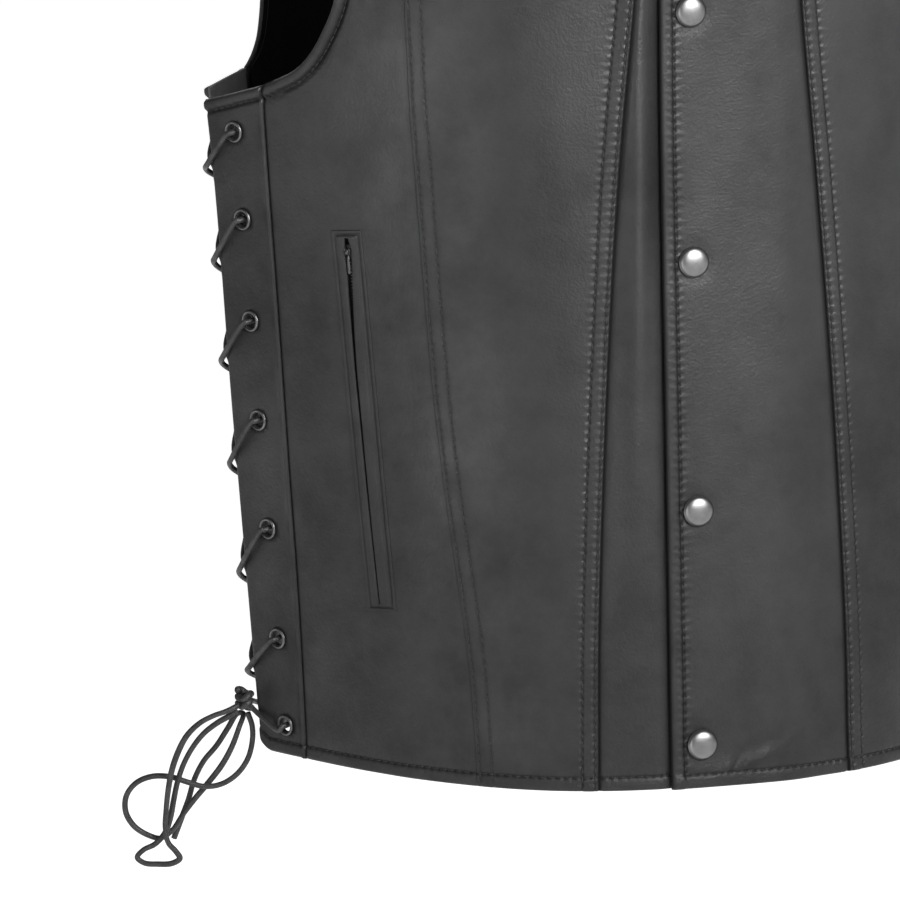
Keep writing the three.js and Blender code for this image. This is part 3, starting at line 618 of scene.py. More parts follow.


# Edges of the panels. rows are the stitch rows' ways from the edge, puff is how far the turned leather
# stands up as far as the last row, and sink is how far the edge itself lies down in its seam. The dark
# values paint the shadow in the edge's crevice and along its stitch rows into the colour, and shade is
# how far that painted shadow reaches in from the edge.

edgeKinds = {
    "plain": {"rows": []},
    "turned": {"rows": [6.7], "puff": 0.6, "dip": 0.36, "rowPaintedShade": 0.7, "bold": 0.42, "sewnShort": True},
    "armhole": {"rows": [6.0], "puff": 1.6, "dip": 1.6, "dipWide": 1.3, "rowPaintedShade": 1.0, "bold": 0.22,
                "sewnShort": True},
    "laceTop": {"rows": [5.8], "puff": 1.6, "dip": 1.0, "dipWide": 1.25, "rowPaintedShade": 0.9, "bold": 0.3,
                "sewnShort": True},
    "flap": {"rows": [6.6], "puff": 0.9, "dip": 0.45, "dark": 0.9, "rowPaintedShade": 0.7, "bold": 1.0, "sewnShort": True},
    "topstitched": {"rows": [1.9, 7.9], "puff": 0.5, "dip": 0.3, "sink": 0.15, "dark": 1.0, "rowPaintedShade": 0.75,
                    "bold": 0.5},
    "lapped": {"rows": [1.9, 7.9], "puff": 0.2, "dip": 0.22, "round": 0.35, "dark": 0.2, "rowPaintedShade": 0.3,
               "bold": 0.25},
    "under": {"rows": [], "sink": 1.1, "sinkWide": 1.3, "dark": 1.0, "shade": 1.5, "tuck": 0.9},
    "lapUnder": {"rows": [], "sink": 0.3, "sinkWide": 1.2, "dark": 0.15, "tuck": 0.9},
    "laceSeam": {"rows": [], "puff": 1.0, "puffEnd": 2.3, "dark": 0.3, "round": 0.8},
    "laced": {"rows": [], "puff": 0.5, "puffEnd": 4.0},
}
edgeRound = 0.95
# edgeShade: how far in the painted shadow line beside an edge fades.
edgeShade = 0.9  # how far in an edge's dark line fades


def edgeHeight(distance, kind, stay=1):
    edge = edgeKinds[kind]
    away = np.maximum(distance - edge.get("tuck", 0), 0)
    height = -edge.get("sink", 0) * np.exp(-((away / edge.get("sinkWide", 2.2)) ** 2))
    if "tuck" not in edge:
        turn = edge.get("round", edgeRound)
        height = height - turn * (1 - np.sqrt(1 - np.clip(1 - distance / turn, 0, 1) ** 2))
    end = edge.get("puffEnd", edge["rows"][-1] if edge["rows"] else 1)
    crown = 0.7 + 0.3 * np.sin(np.clip(distance / end, 0, 1) * math.pi)
    puff = edge.get("puff", 0) * soft(distance / 1.3) * crown * (1 - soft((distance - end + 1.0) / 1.8))
    height = height + puff
    for row in edge["rows"]:
        height = height - stay * edge["dip"] * np.exp(-(((distance - row) / edge.get("dipWide", 0.62)) ** 2))
    return height


# Painted shade: how dark the colour is drawn in an edge's crevice and along its stitch rows.
def edgePaintedShade(distance, kind, stay=1):
    edge = edgeKinds[kind]
    away = np.maximum(distance - edge.get("tuck", 0), 0)
    dark = edge.get("dark", 0.15) * np.exp(-((away / edge.get("shade", edgeShade)) ** 2))
    for row in edge["rows"]:
        width = edge.get("dipWide", 0.62)
        dark = np.maximum(dark, stay * edge.get("rowPaintedShade", 0.4) * np.exp(-(((distance - row) / width) ** 2)))
    return dark


def rowNearness(distance, kind, width):
    near = 0 * distance
    for row in edgeKinds[kind]["rows"]:
        near = np.maximum(near, np.exp(-(((distance - row) / width) ** 2)))
    return near * edgeKinds[kind].get("bold", 1)


nearEdge = [0, 0.22, 0.5, 0.95, 1.5, 1.9, 2.3, 3.0, 4.2, 5.4, 6.2, 6.6, 7.0, 7.5, 7.9, 8.3, 8.9, 10.2, 12.5]
nearPlain = [0, 0.22, 0.5, 0.95, 1.6, 2.4, 3.6, 5.5, 8]


# Ways from the first edge for each column or row; count is the number of even steps in the middle.
def spread(near, far, length, step, count):
    share = min(1, 0.45 * length / max(near[-1] + far[-1], 1e-6) * 2)
    first = np.array(near) * min(1, share)
    last = length - np.array(far)[::-1] * min(1, share)
    middle = np.linspace(first[-1], last[0], count + 1)[1:-1]
    return np.concatenate([first, middle, last])


def arcLengths(points):
    steps = np.linalg.norm(np.diff(points, axis=0), axis=1)
    return np.concatenate([[0], np.cumsum(steps)])


# The panel's x and up at each grid point, with the ways to its four edges.
def panelGrid(panel):
    form, place = panel["form"], panel["place"]
    fine = np.linspace(0, 1, 260)
    x, up = place(np.full_like(fine, 0.5), fine)
    lengths = arcLengths(clothPoint(form, x, up))
    rowCount = max(4, round((lengths[-1] - 20) / panel["stepUp"]))
    rowSpots = spread(panel["nearBottom"], panel["nearTop"], lengths[-1], panel["stepUp"], rowCount)
    rowShares = np.interp(rowSpots, lengths, fine)
    if "armholeFrom" in panel:
        edgeUps = place(np.ones_like(fine), fine)[1]
        low, high = np.interp(panel["armholeFrom"] + np.array([-14, 15]), edgeUps, fine)
        dense = np.linspace(low, high, 42)
        rowShares = np.concatenate([rowShares[rowShares < low - 0.002], dense, rowShares[rowShares > high + 0.002]])
    widths = []
    for t in (0.02, 0.25, 0.5, 0.75, 0.97):
        x, up = place(fine, np.full_like(fine, t))
        widths.append(arcLengths(clothPoint(form, x, up))[-1])
    columnCount = max(3, round((max(widths) - 20) / panel["stepAcross"]))
    xs, ups, left, right = [], [], [], []
    across = np.linspace(0, 1, 90)
    for t in rowShares:
        x, up = place(across, np.full_like(across, t))
        run = arcLengths(clothPoint(form, x, up))
        spots = spread(panel["nearLeft"], panel["nearRight"], run[-1], panel["stepAcross"], columnCount)
        shares = np.interp(spots, run, across)
        if "snapShare" in panel:
            for share in panel["snapShare"]:
                k = np.argmin(np.abs(shares - share))
                shares[k] = share
        x, up = place(shares, np.full_like(shares, t))
        xs.append(x)
        ups.append(up)
        left.append(spots)
        right.append(run[-1] - spots)
    x, up = np.array(xs), np.array(ups)
    points = clothPoint(form, x, up)
    steps = np.linalg.norm(np.diff(points, axis=0), axis=2)
    bottom = np.concatenate([np.zeros((1, x.shape[1])), np.cumsum(steps, axis=0)])
    ways = {"left": np.array(left), "right": np.array(right), "bottom": bottom, "top": bottom[-1] - bottom}
    if "armholeFrom" in panel:
        for edge, column in (("left", 0), ("right", -1)):
            if panel[edge][1] == "armhole":
                line = points[up[:, column] > panel["armholeFrom"] - 0.5, column]
                ahead = unit(line[:1] - line[1:2]) * 14
                ways[edge + "Armhole"] = wayToLine(points, np.concatenate([line[:1] + ahead, line]))
    return x, up, ways


# Each grid point's way to the nearest stretch of a line.
def wayToLine(points, line):
    start, step = line[:-1], np.diff(line, axis=0)
    square = np.maximum((step ** 2).sum(axis=1), 1e-9)
    ways = []
    for row in points:
        share = np.clip(((row[:, None] - start) * step).sum(axis=2) / square, 0, 1)
        ways.append(np.linalg.norm(row[:, None] - start - share[..., None] * step, axis=2).min(axis=1))
    return np.array(ways)


# 0 in a corner past the other edge's row, where a row that turns the corner has ended, and 1 elsewhere.
def sewnEnds(panel, ways):
    stays = {}
    for edge in ("left", "right", "bottom", "top"):
        others = ("bottom", "top") if edge in ("left", "right") else ("left", "right")
        stay = 1 + 0 * ways[edge]
        for other in others:
            kind = edgeKinds[panel[other][0]]
            if kind.get("sewnShort") and edgeKinds[panel[edge][0]].get("sewnShort"):
                stay = stay * (ways[other] > kind["rows"][0] - 0.8)
        stays[edge] = stay
    return stays


# The height of a panel's face above the leather's form, and the shading values at each grid point.
def panelRise(panel, up, ways):
    rise = 0 * up
    shades = {name: 0 * up for name in ("groove", "sideRow", "endRow", "sidePucker", "endPucker")}
    stays = sewnEnds(panel, ways)
    for edge in ("left", "right", "bottom", "top"):
        low, high, split = panel[edge]
        near, far = ways[edge], ways.get(edge + "Armhole", ways[edge])
        share = soft((up - split) / 3) if split is not None else 0 * up
        if edge + "Armhole" in ways:
            under, over = 1 - share, 1 + 0 * share
        else:
            under, over = 1 - share, share
        family = "side" if edge in ("left", "right") else "end"
        rise = rise + edgeHeight(near, low, stays[edge]) * under + edgeHeight(far, high, stays[edge]) * over
        for way, kind, part in ((near, low, under), (far, high, over)):
            shades["groove"] = np.maximum(shades["groove"], edgePaintedShade(way, kind, stays[edge]) * part)
            for name, width in (("Row", 0.75), ("Pucker", 2.6)):
                nearness = rowNearness(way, kind, width) * part * stays[edge]
                shades[family + name] = np.maximum(shades[family + name], nearness)
    shades["sideRun"] = ways["bottom"]
    shades["endRun"] = ways["left"]
    return rise, shades


def liftAt(style, x):
    return style["lift"] * (1 - soft((x - overlap["start"]) / (overlap["end"] - overlap["start"])))


def meshFrom(name, points, faces, materialNames, faceMaterials=None, smooth=True):
    mesh = bpy.data.meshes.new(name)
    mesh.from_pydata((np.asarray(points) * mm).tolist(), [], faces)
    for key in materialNames:
        mesh.materials.append(materials[key])
    if faceMaterials is not None:
        mesh.polygons.foreach_set("material_index", faceMaterials)
    if smooth:
        mesh.polygons.foreach_set("use_smooth", [True] * len(mesh.polygons))
    mesh.update()
    thing = bpy.data.objects.new(name, mesh)
    bpy.context.scene.collection.objects.link(thing)
    return thing


def giveAttribute(thing, name, values):
    attribute = thing.data.attributes.new(name, "FLOAT", "POINT")
    attribute.data.foreach_set("value", np.asarray(values, np.float32))


# A closed shell between two grids of points, without the cells that keep leaves out.
def wallMesh(name, outer, inner, keep, flip, materialNames, shades):
    rows, columns = outer.shape[:2]
    count = rows * columns
    index = np.arange(count).reshape(rows, columns)
    faces, kinds = [], []

    def quad(a, b, c, d, kind):
        faces.append((a, d, c, b) if flip else (a, b, c, d))
        kinds.append(kind)

    def kept(j, i):
        return 0 <= j < rows - 1 and 0 <= i < columns - 1 and keep[j, i]

    for j in range(rows - 1):
        for i in range(columns - 1):
            if not keep[j, i]:
                continue
            a, b, c, d = index[j, i], index[j, i + 1], index[j + 1, i + 1], index[j + 1, i]
            quad(a, b, c, d, 0)
            quad(a + count, d + count, c + count, b + count, 1)
            if not kept(j - 1, i):
                quad(b, a, a + count, b + count, 0)
            if not kept(j + 1, i):
                quad(d, c, c + count, d + count, 0)
            if not kept(j, i - 1):
                quad(a, d, d + count, a + count, 0)
            if not kept(j, i + 1):
                quad(c, b, b + count, c + count, 0)
    points = np.concatenate([outer.reshape(-1, 3), inner.reshape(-1, 3)])
    used = np.zeros(len(points), bool)
    used[np.unique(np.array(faces))] = True
    renumber = np.cumsum(used) - 1
    faces = renumber[np.array(faces)].tolist()
    thing = meshFrom(name, points[used], faces, materialNames, kinds)
    for key, values in shades.items():
        giveAttribute(thing, key, np.concatenate([values.ravel(), np.zeros(count)])[used])
    return thing


# Takes the cells inside each hole away and draws the grid points round it onto its circle.
def roundHoles(x, up, keep, form, side, holes, radius):
    for holeX, holeUp in holes:
        stretch = clothFrame(form, np.array([side * holeX]), np.array([holeUp]))[3][0]
        away = np.hypot((x - holeX) * stretch, up - holeUp)
        inside = away < radius
        keep &= ~(inside[:-1, :-1] & inside[1:, :-1] & inside[:-1, 1:] & inside[1:, 1:]) if inside.sum() > 3 else True
        cells = inside[:-1, :-1] | inside[1:, :-1] | inside[:-1, 1:] | inside[1:, 1:]
        keep &= ~cells
        border = np.zeros_like(inside)
        border[:-1, :-1] |= cells
        border[1:, :-1] |= cells
        border[:-1, 1:] |= cells
        border[1:, 1:] |= cells
        border &= ~inside
        pull = np.where(border, radius / np.maximum(away, 1e-6), 1)
        x[:] = holeX + (x - holeX) * pull
        up[:] = holeUp + (up - holeUp) * pull


# A hollow on the under front beside and below the flap's edge; its darkness in the colour is a painted shadow line.
flapHollow = {"x": 28.5, "wide": 3.0, "deep": 1.1}  # on the under front, beside and below the flap's edge


def makePanel(panel):
    form, style, side = panel["form"], panel["style"], panel["side"]
    x, up, ways = panelGrid(panel)
    rise, shades = panelRise(panel, up, ways)
    keep = np.ones((x.shape[0] - 1, x.shape[1] - 1), bool)
    if panel.get("holes"):
        roundHoles(x, up, keep, form, side, panel["holes"], eyeletLook["hole"])
    if panel.get("slot"):
        keep &= ~insidePocket(x, up, side)
    rise = rise + panel["relief"](side * x, up)
    if panel.get("kind") in ("front_band", "front_middle_panel") and side < 0:
        hollow = flapHollow["deep"] * np.exp(-(((x - flapHollow["x"]) / flapHollow["wide"]) ** 2))
        rise = rise - hollow
        # the hollow's painted shadow, written into the groove shade
        shades["groove"] = np.maximum(shades["groove"], np.clip(hollow / flapHollow["deep"], 0, 1) ** 2)
    lift = liftAt(style, x) if panel.get("lifted") else 0 * x
    thick = panel.get("thick", wallThick)
    face = panel.get("face", 0)
    free = [ways[edge] for edge in ("left", "right", "bottom", "top") if "tuck" not in edgeKinds[panel[edge][0]]]
    shell = np.minimum.reduce(free)
    tuck = edgeRound * (1 - np.sqrt(1 - np.clip(1 - shell / edgeRound, 0, 1) ** 2))
    under = np.minimum(face - thick + tuck + panel["relief"](side * x, up), face + rise - 0.08) + lift
    outer = clothAt(form, side * x, up, face + rise + lift)
    inner = clothAt(form, side * x, up, under)
    flip = form["side"] * side > 0
    thing = wallMesh(panel["name"], outer, inner, keep, flip, panel["materials"], shades)
    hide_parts(panel["name"])
    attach(thing, "root")
    sewPanel(panel, x, up, ways, rise + lift)
    cells = np.cross(outer[1:, :-1] - outer[:-1, :-1], outer[:-1, 1:] - outer[:-1, :-1])
    shown = np.linalg.norm(cells, axis=2)[keep].sum() * mm * mm
    print(panel["name"], len(thing.data.polygons) * 2, "triangles, %.4f square metres," % shown,
          "%.3f m across and %.3f m up" % (np.max(ways["left"]) * mm, np.max(ways["bottom"]) * mm))
    return thing


# Sewing: each stitch is a short arched thread whose ends dive into needle holes, drawn as flat near-black discs that
# paint the shade inside each hole

sewing = np.random.default_rng(7)


# The line at a stitch row's way from its edge: where it runs, and how far along each point is.
def rowLine(edge, row, x, up, ways, rise):
    away = ways.get(edge + "Armhole", ways[edge])
    lines = {"x": [], "up": [], "rise": [], "run": [], "start": [], "end": []}
    alongSide = edge in ("left", "right")
    values = {"x": x, "up": up, "rise": rise, "run": ways["bottom"] if alongSide else ways["left"],
              "start": ways["bottom"] if alongSide else ways["left"],
              "end": ways["top"] if alongSide else ways["right"]}
    for k in range(away.shape[0] if alongSide else away.shape[1]):
        cut = (k, slice(None)) if alongSide else (slice(None), k)
        order = np.argsort(away[cut])
        for key in lines:
            lines[key].append(np.interp(row, away[cut][order], values[key][cut][order]))
    return {key: np.array(value) for key, value in lines.items()}


def sewPanel(panel, x, up, ways, rise):
    found = []
    for edge in ("left", "right", "bottom", "top"):
        low, high, split = panel[edge]
        for kind, isLow in ((low, True), (high, False)):
            if split is None and not isLow:
                continue
            rows = edgeKinds[kind]["rows"]
            for row in rows:
                line = rowLine(edge, row, x, up, ways, rise)
                first, last = 1.0, line["run"].max() - 1.0
                if edgeKinds[kind].get("sewnShort"):
                    ends = ("bottom", "top") if edge in ("left", "right") else ("left", "right")
                    reach = [edgeKinds[panel[end][0]] for end in ends]
                    first = reach[0]["rows"][0] if reach[0].get("sewnShort") else 1.0
                    last = line["run"].max() - (reach[1]["rows"][0] if reach[1].get("sewnShort") else 1.0)
                pitch = stitchLook["pitch"]
                runs = (np.arange(math.ceil(first / pitch), math.floor(last / pitch)) + 0.5) * pitch
                ups = np.interp(runs, line["run"], line["up"])
                if edge + "Armhole" in ways:
                    ups = ups + 9
                if split is not None:
                    runs = runs[(ups < split) if isLow else (ups > split)]
                if len(runs):
                    found.append((line, runs, edgeKinds[kind].get("bold", 1)))
    if found:
        thing = stitchMesh(panel, found)
        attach(thing, "root")


def stitchMesh(panel, found):
    look, form, side = stitchLook, panel["form"], panel["side"]
    points, faces, kinds, count = [], [], [], 0
    around = look["around"]
    for line, runs, bold in found:
        length = look["length"] * sewing.uniform(0.93, 1.05, len(runs))
        steps = np.array([-0.5, -0.32, 0, 0.32, 0.5])
        heights = np.array([-0.22, 0.62, 1, 0.62, -0.22]) * look["rise"] * bold
        widths = np.array([0.55, 0.95, 1, 0.95, 0.55]) * look["radius"] * (0.7 + 0.3 * bold)
        at = runs[:, None] + length[:, None] * steps[None, :]
        x, up, rise = (np.interp(at, line["run"], line[key]) for key in ("x", "up", "rise"))
        centres = clothAt(form, side * x, up, rise + heights)
        out = clothFrame(form, side * x, up)[2]
        ahead = unit(centres[:, -1:] - centres[:, :1]) + 0 * centres
        sideways = unit(np.cross(out, ahead))
        rings = []
        for i in range(around):
            angle = 2 * math.pi * i / around
            turned = sideways * math.cos(angle) * 1.15 + out * math.sin(angle)
            rings.append(centres + turned * widths[None, :, None])
        rings = np.stack(rings, axis=2).reshape(len(runs), -1, 3)
        block = []
        for k in range(len(steps) - 1):
            for i in range(around):
                j = (i + 1) % around
                block.append((k * around + i, k * around + j, (k + 1) * around + j, (k + 1) * around + i))
        for n in range(len(runs)):
            faces += [tuple(i + count for i in face) for face in block]
            faces.append(tuple(count + i for i in range(around))[::-1])
            faces.append(tuple(count + (len(steps) - 1) * around + i for i in range(around)))
            kinds += [0] * (len(block) + 2)
            count += rings.shape[1]
        points.append(rings.reshape(-1, 3))
        # needle holes: flat near-black discs of painted shade
        at = np.concatenate([runs - look["pitch"] / 2, runs[-1:] + look["pitch"] / 2])
        x, up, rise = (np.interp(at, line["run"], line[key]) for key in ("x", "up", "rise"))
        _, above, out, _ = clothFrame(form, side * x, up)
        centres = clothAt(form, side * x, up, rise + 0.07)
        other = unit(np.cross(out, above))
        reach = look["holeRadius"] * (0.4 + 0.6 * bold)
        discs = np.stack([centres + (above * math.cos(a) + other * math.sin(a)) * reach
                          for a in np.arange(6) * math.pi / 3], axis=1)
        for n in range(len(at)):
            faces.append(tuple(count + i for i in range(6)))
            kinds.append(1)
            count += 6
        points.append(discs.reshape(-1, 3))
    return meshFrom("stitches_" + panel["name"], np.concatenate(points), faces, ["thread", "hole"], kinds)


# Small creases on the worn leather, as soft ridges and troughs. Each lies at x and
# up, long millimetres at an angle from upright, wide across, and stands rise millimetres.

creases = {
    "front": [
        {"x": -39.5, "up": -325, "angle": 1, "long": 125, "wide": 5.2, "rise": 3.0},
        {"x": -1, "up": -630, "angle": 50, "long": 6, "wide": 1.5, "rise": 2.0},
        {"x": 4, "up": -627, "angle": 35, "long": 7, "wide": 1.6, "rise": -1.4},
        {"x": 9, "up": -629, "angle": 60, "long": 8, "wide": 1.6, "rise": 2.1},
        {"x": 14, "up": -625, "angle": 40, "long": 7, "wide": 1.6, "rise": -1.4},
        {"x": 19, "up": -626, "angle": 65, "long": 9, "wide": 1.7, "rise": 2.1},
        {"x": 25, "up": -621, "angle": 55, "long": 8, "wide": 1.7, "rise": -1.5},
        {"x": 30, "up": -619, "angle": 68, "long": 8, "wide": 1.8, "rise": 1.4},
        {"x": 21, "up": -614, "angle": -50, "long": 6, "wide": 1.8, "rise": 0.6},
        {"x": 27, "up": -572, "angle": -24, "long": 34, "wide": 8, "rise": 1.4},
        {"x": 41, "up": -586, "angle": -30, "long": 30, "wide": 7, "rise": -1.4},
        {"x": 4, "up": -575, "angle": -14, "long": 30, "wide": 7, "rise": -0.9},
        {"x": -25.6, "up": -636.6, "angle": 45, "long": 4, "wide": 0.9, "rise": 0.6},
        {"x": 8, "up": -330, "angle": 12, "long": 60, "wide": 12, "rise": 0.8},
        {"x": -88, "up": -330, "angle": 6, "long": 130, "wide": 26, "rise": 1.0},
        {"x": -108, "up": -480, "angle": -8, "long": 80, "wide": 18, "rise": -0.8},
        {"x": -146, "up": -330, "angle": 24, "long": 46, "wide": 12, "rise": 0.9},
        {"x": -165, "up": -600, "angle": 14, "long": 40, "wide": 9, "rise": -0.8},
        {"x": -150, "up": -620, "angle": -30, "long": 26, "wide": 7, "rise": 0.7},
        {"x": 90, "up": -310, "angle": -8, "long": 120, "wide": 24, "rise": 0.9},
        {"x": 118, "up": -470, "angle": 10, "long": 90, "wide": 17, "rise": -0.9},
        {"x": 160, "up": -350, "angle": -26, "long": 44, "wide": 11, "rise": 0.9},
        {"x": 152, "up": -612, "angle": -20, "long": 36, "wide": 9, "rise": -0.8},
        {"x": -120, "up": -190, "angle": -22, "long": 70, "wide": 16, "rise": -0.9},
        {"x": 122, "up": -200, "angle": 22, "long": 66, "wide": 15, "rise": -0.9},
        {"x": -60, "up": -120, "angle": 18, "long": 60, "wide": 14, "rise": 0.8},
        {"x": 66, "up": -130, "angle": -16, "long": 62, "wide": 14, "rise": 0.8},
    ],
    "back": [
        {"x": -60, "up": -560, "angle": 4, "long": 80, "wide": 8, "rise": -1.2},
        {"x": 22, "up": -590, "angle": -5, "long": 60, "wide": 7, "rise": 1.1},
        {"x": 78, "up": -560, "angle": 8, "long": 70, "wide": 9, "rise": -1.2},
        {"x": -18, "up": -400, "angle": 12, "long": 70, "wide": 10, "rise": 1.0},
        {"x": -128, "up": -262, "angle": -38, "long": 46, "wide": 9, "rise": -1.3},
        {"x": 130, "up": -258, "angle": 36, "long": 50, "wide": 9, "rise": -1.3},
        {"x": -112, "up": -220, "angle": -48, "long": 38, "wide": 8, "rise": 1.0},
        {"x": 108, "up": -214, "angle": 50, "long": 40, "wide": 8, "rise": 1.0},
        {"x": 0, "up": -130, "angle": 90, "long": 90, "wide": 16, "rise": 0.8},
        {"x": -140, "up": -470, "angle": 20, "long": 60, "wide": 9, "rise": 1.1},
        {"x": 138, "up": -440, "angle": -16, "long": 66, "wide": 10, "rise": 1.1},
    ],
    "lining": [
        {"x": -150, "up": -250, "angle": 3, "long": 60, "wide": 5, "rise": 2.2},
        {"x": -138, "up": -230, "angle": -4, "long": 80, "wide": 4, "rise": -1.6},
        {"x": -126, "up": -260, "angle": 5, "long": 70, "wide": 5, "rise": 2.0},
        {"x": -108, "up": -240, "angle": 0, "long": 90, "wide": 6, "rise": -1.8},
        {"x": -90, "up": -260, "angle": -3, "long": 80, "wide": 7, "rise": 1.8},
        {"x": -40, "up": -200, "angle": 4, "long": 100, "wide": 8, "rise": -1.6},
        {"x": 10, "up": -260, "angle": -2, "long": 120, "wide": 8, "rise": 1.6},
        {"x": 60, "up": -220, "angle": 3, "long": 100, "wide": 7, "rise": -1.8},
        {"x": 104, "up": -250, "angle": -5, "long": 80, "wide": 6, "rise": 2.0},
        {"x": 140, "up": -240, "angle": 4, "long": 70, "wide": 5, "rise": -1.8},
    ],
}


def creaseRelief(kind):
    rows = creases[kind]

    def relief(x, up):
        rise = 0 * x
        for crease in rows:
            lean = math.radians(crease["angle"])
            along = (x - crease["x"]) * math.sin(lean) + (up - crease["up"]) * math.cos(lean)
            aside = (x - crease["x"]) * math.cos(lean) - (up - crease["up"]) * math.sin(lean)
            rise = rise + crease["rise"] * np.exp(-((along / crease["long"]) ** 2)
                                                  - (aside / crease["wide"]) ** 2)
        return rise
    return relief


frontCreases, backCreases, liningCreases = (creaseRelief(kind) for kind in ("front", "back", "lining"))
snapLook = {"across": 14, "ups": [-619, -508, -391, -274], "radius": 7.4, "height": 3.4, "press": 0.7}


def frontRelief(x, up):
    rise = frontCreases(x, up)
    for snapUp in snapLook["ups"]:
        away = np.hypot(x + snapLook["across"], up - snapUp)
        rise = rise - snapLook["press"] * np.exp(-(((away - snapLook["radius"]) / 2.2) ** 2))
    return rise


# The lining hangs in soft folds behind the back's leather, and never stands through it
def liningRelief(x, up):
    return backCreases(x, up) + np.minimum(liningCreases(x, up) - 1.2, 0.4)


# Eyelets, pocket and lacing: sizes that the panels and the hard parts share

eyeletLook = {
    "ups": [-336, -378, -427, -475, -528, -582, -625],
    "frontInset": 9, "backInset": 12, "hole": 3.9, "bore": 3.3, "rim": 4.5, "flange": 5.3, "segments": 28,
}
pocketLook = {
    "top": {"x": 162.5, "up": -378}, "bottom": {"x": 149.5, "up": -560}, "slotHalf": 4.2, "slotEnd": 5,
    "sliderRoom": 10,
}
pocketLength = math.hypot(pocketLook["top"]["x"] - pocketLook["bottom"]["x"],
                          pocketLook["top"]["up"] - pocketLook["bottom"]["up"])


def eyeletX(form, up):
    return frontHalf(up) - eyeletLook["frontInset"] if form is frontForm else backHalf(up) - eyeletLook["backInset"]


def pocketSpot(share):
    top, bottom = pocketLook["top"], pocketLook["bottom"]
    return mix(bottom["x"], top["x"], share), mix(bottom["up"], top["up"], share)


def insidePocket(x, up, side):
    middleX = (x[:-1, :-1] + x[1:, 1:]) / 2
    middleUp = (up[:-1, :-1] + up[1:, 1:]) / 2
    share = (middleUp - pocketLook["bottom"]["up"]) / (pocketLook["top"]["up"] - pocketLook["bottom"]["up"])
    centre = mix(pocketLook["bottom"]["x"], pocketLook["top"]["x"], share)
    stretch = clothFrame(frontForm, side * middleX, middleUp)[3]
    end = pocketLook["slotEnd"] / pocketLength
    return (np.abs((middleX - centre) * stretch) < pocketLook["slotHalf"] - 0.3) & (share > end) & (share < 1 - end)


# The leather panels

panelSizes = {
    "front_lace_panel": {"flat": (0.038, 0.328), "area": 0.0116},
    "front_side_panel": {"flat": (0.104, 0.686), "area": 0.0409},
    "front_middle_panel": {"flat": (0.127, 0.730), "area": 0.0669},
    "front_band": {"flat": (0.091, 0.556), "area": 0.0379},
    "back_panel": {"flat": (0.411, 0.702), "area": 0.2517},
    "back_lining": {"flat": (0.411, 0.701), "area": 0.2463},
    "back_lace_panel": {"flat": (0.037, 0.327), "area": 0.0115},
}


def frontPanels():
    made = []
    for style in wearerSides:
        common = {"form": frontForm, "style": style, "side": style["side"], "relief": frontRelief,
                  "materials": ["leather", "inside"], "slotName": "black_leather", "nearTop": nearPlain,
                  "nearBottom": nearEdge, "bottom": ("turned", "turned", None), "top": ("under", "under", None),
                  "stepUp": 3.2}
        made.append({
            **common, "kind": "front_lace_panel", "place": frontLacePlace(style), "stepAcross": 1.5,
            "stepUp": 2.0, "nearLeft": nearPlain[:6], "nearRight": nearPlain[:7], "nearTop": nearEdge,
            "left": ("laceSeam", "laceSeam", None), "right": ("laced", "laced", None),
            "top": ("laceTop", "laceTop", None),
            "materials": ["leather", "facing"],
            "holes": [(float(eyeletX(frontForm, up)), up) for up in eyeletLook["ups"]],
        })
        made.append({
            **common, "kind": "front_side_panel", "place": frontSidePlace(style), "stepAcross": 1.7,
            "nearLeft": nearPlain, "nearRight": nearEdge, "left": ("lapUnder", "lapUnder", None),
            "right": ("under", "armhole", levels["frontSeamTop"] + 1), "slot": True,
            "armholeFrom": levels["frontSeamTop"],
        })
        made.append({
            **common, "kind": "front_middle_panel", "place": frontMiddlePlace(style), "stepAcross": 3.0,
            "nearLeft": nearEdge, "nearRight": nearEdge, "lifted": True,
            "left": ("topstitched", "turned", bandTop(style)), "right": ("lapped", "lapped", None),
        })
        made.append({
            **common, "kind": "front_band", "place": frontBandPlace(style), "stepAcross": 2.4,
            "nearLeft": nearEdge, "nearRight": nearPlain, "lifted": True,
            "left": ("flap", "flap", None), "right": ("under", "under", None),
            "nearTop": nearPlain[:3],
        })
    for panel in made:
        panel["name"] = panel["kind"] + "_" + panel["style"]["name"]
        panel.update(panelSizes[panel["kind"]])
    return made


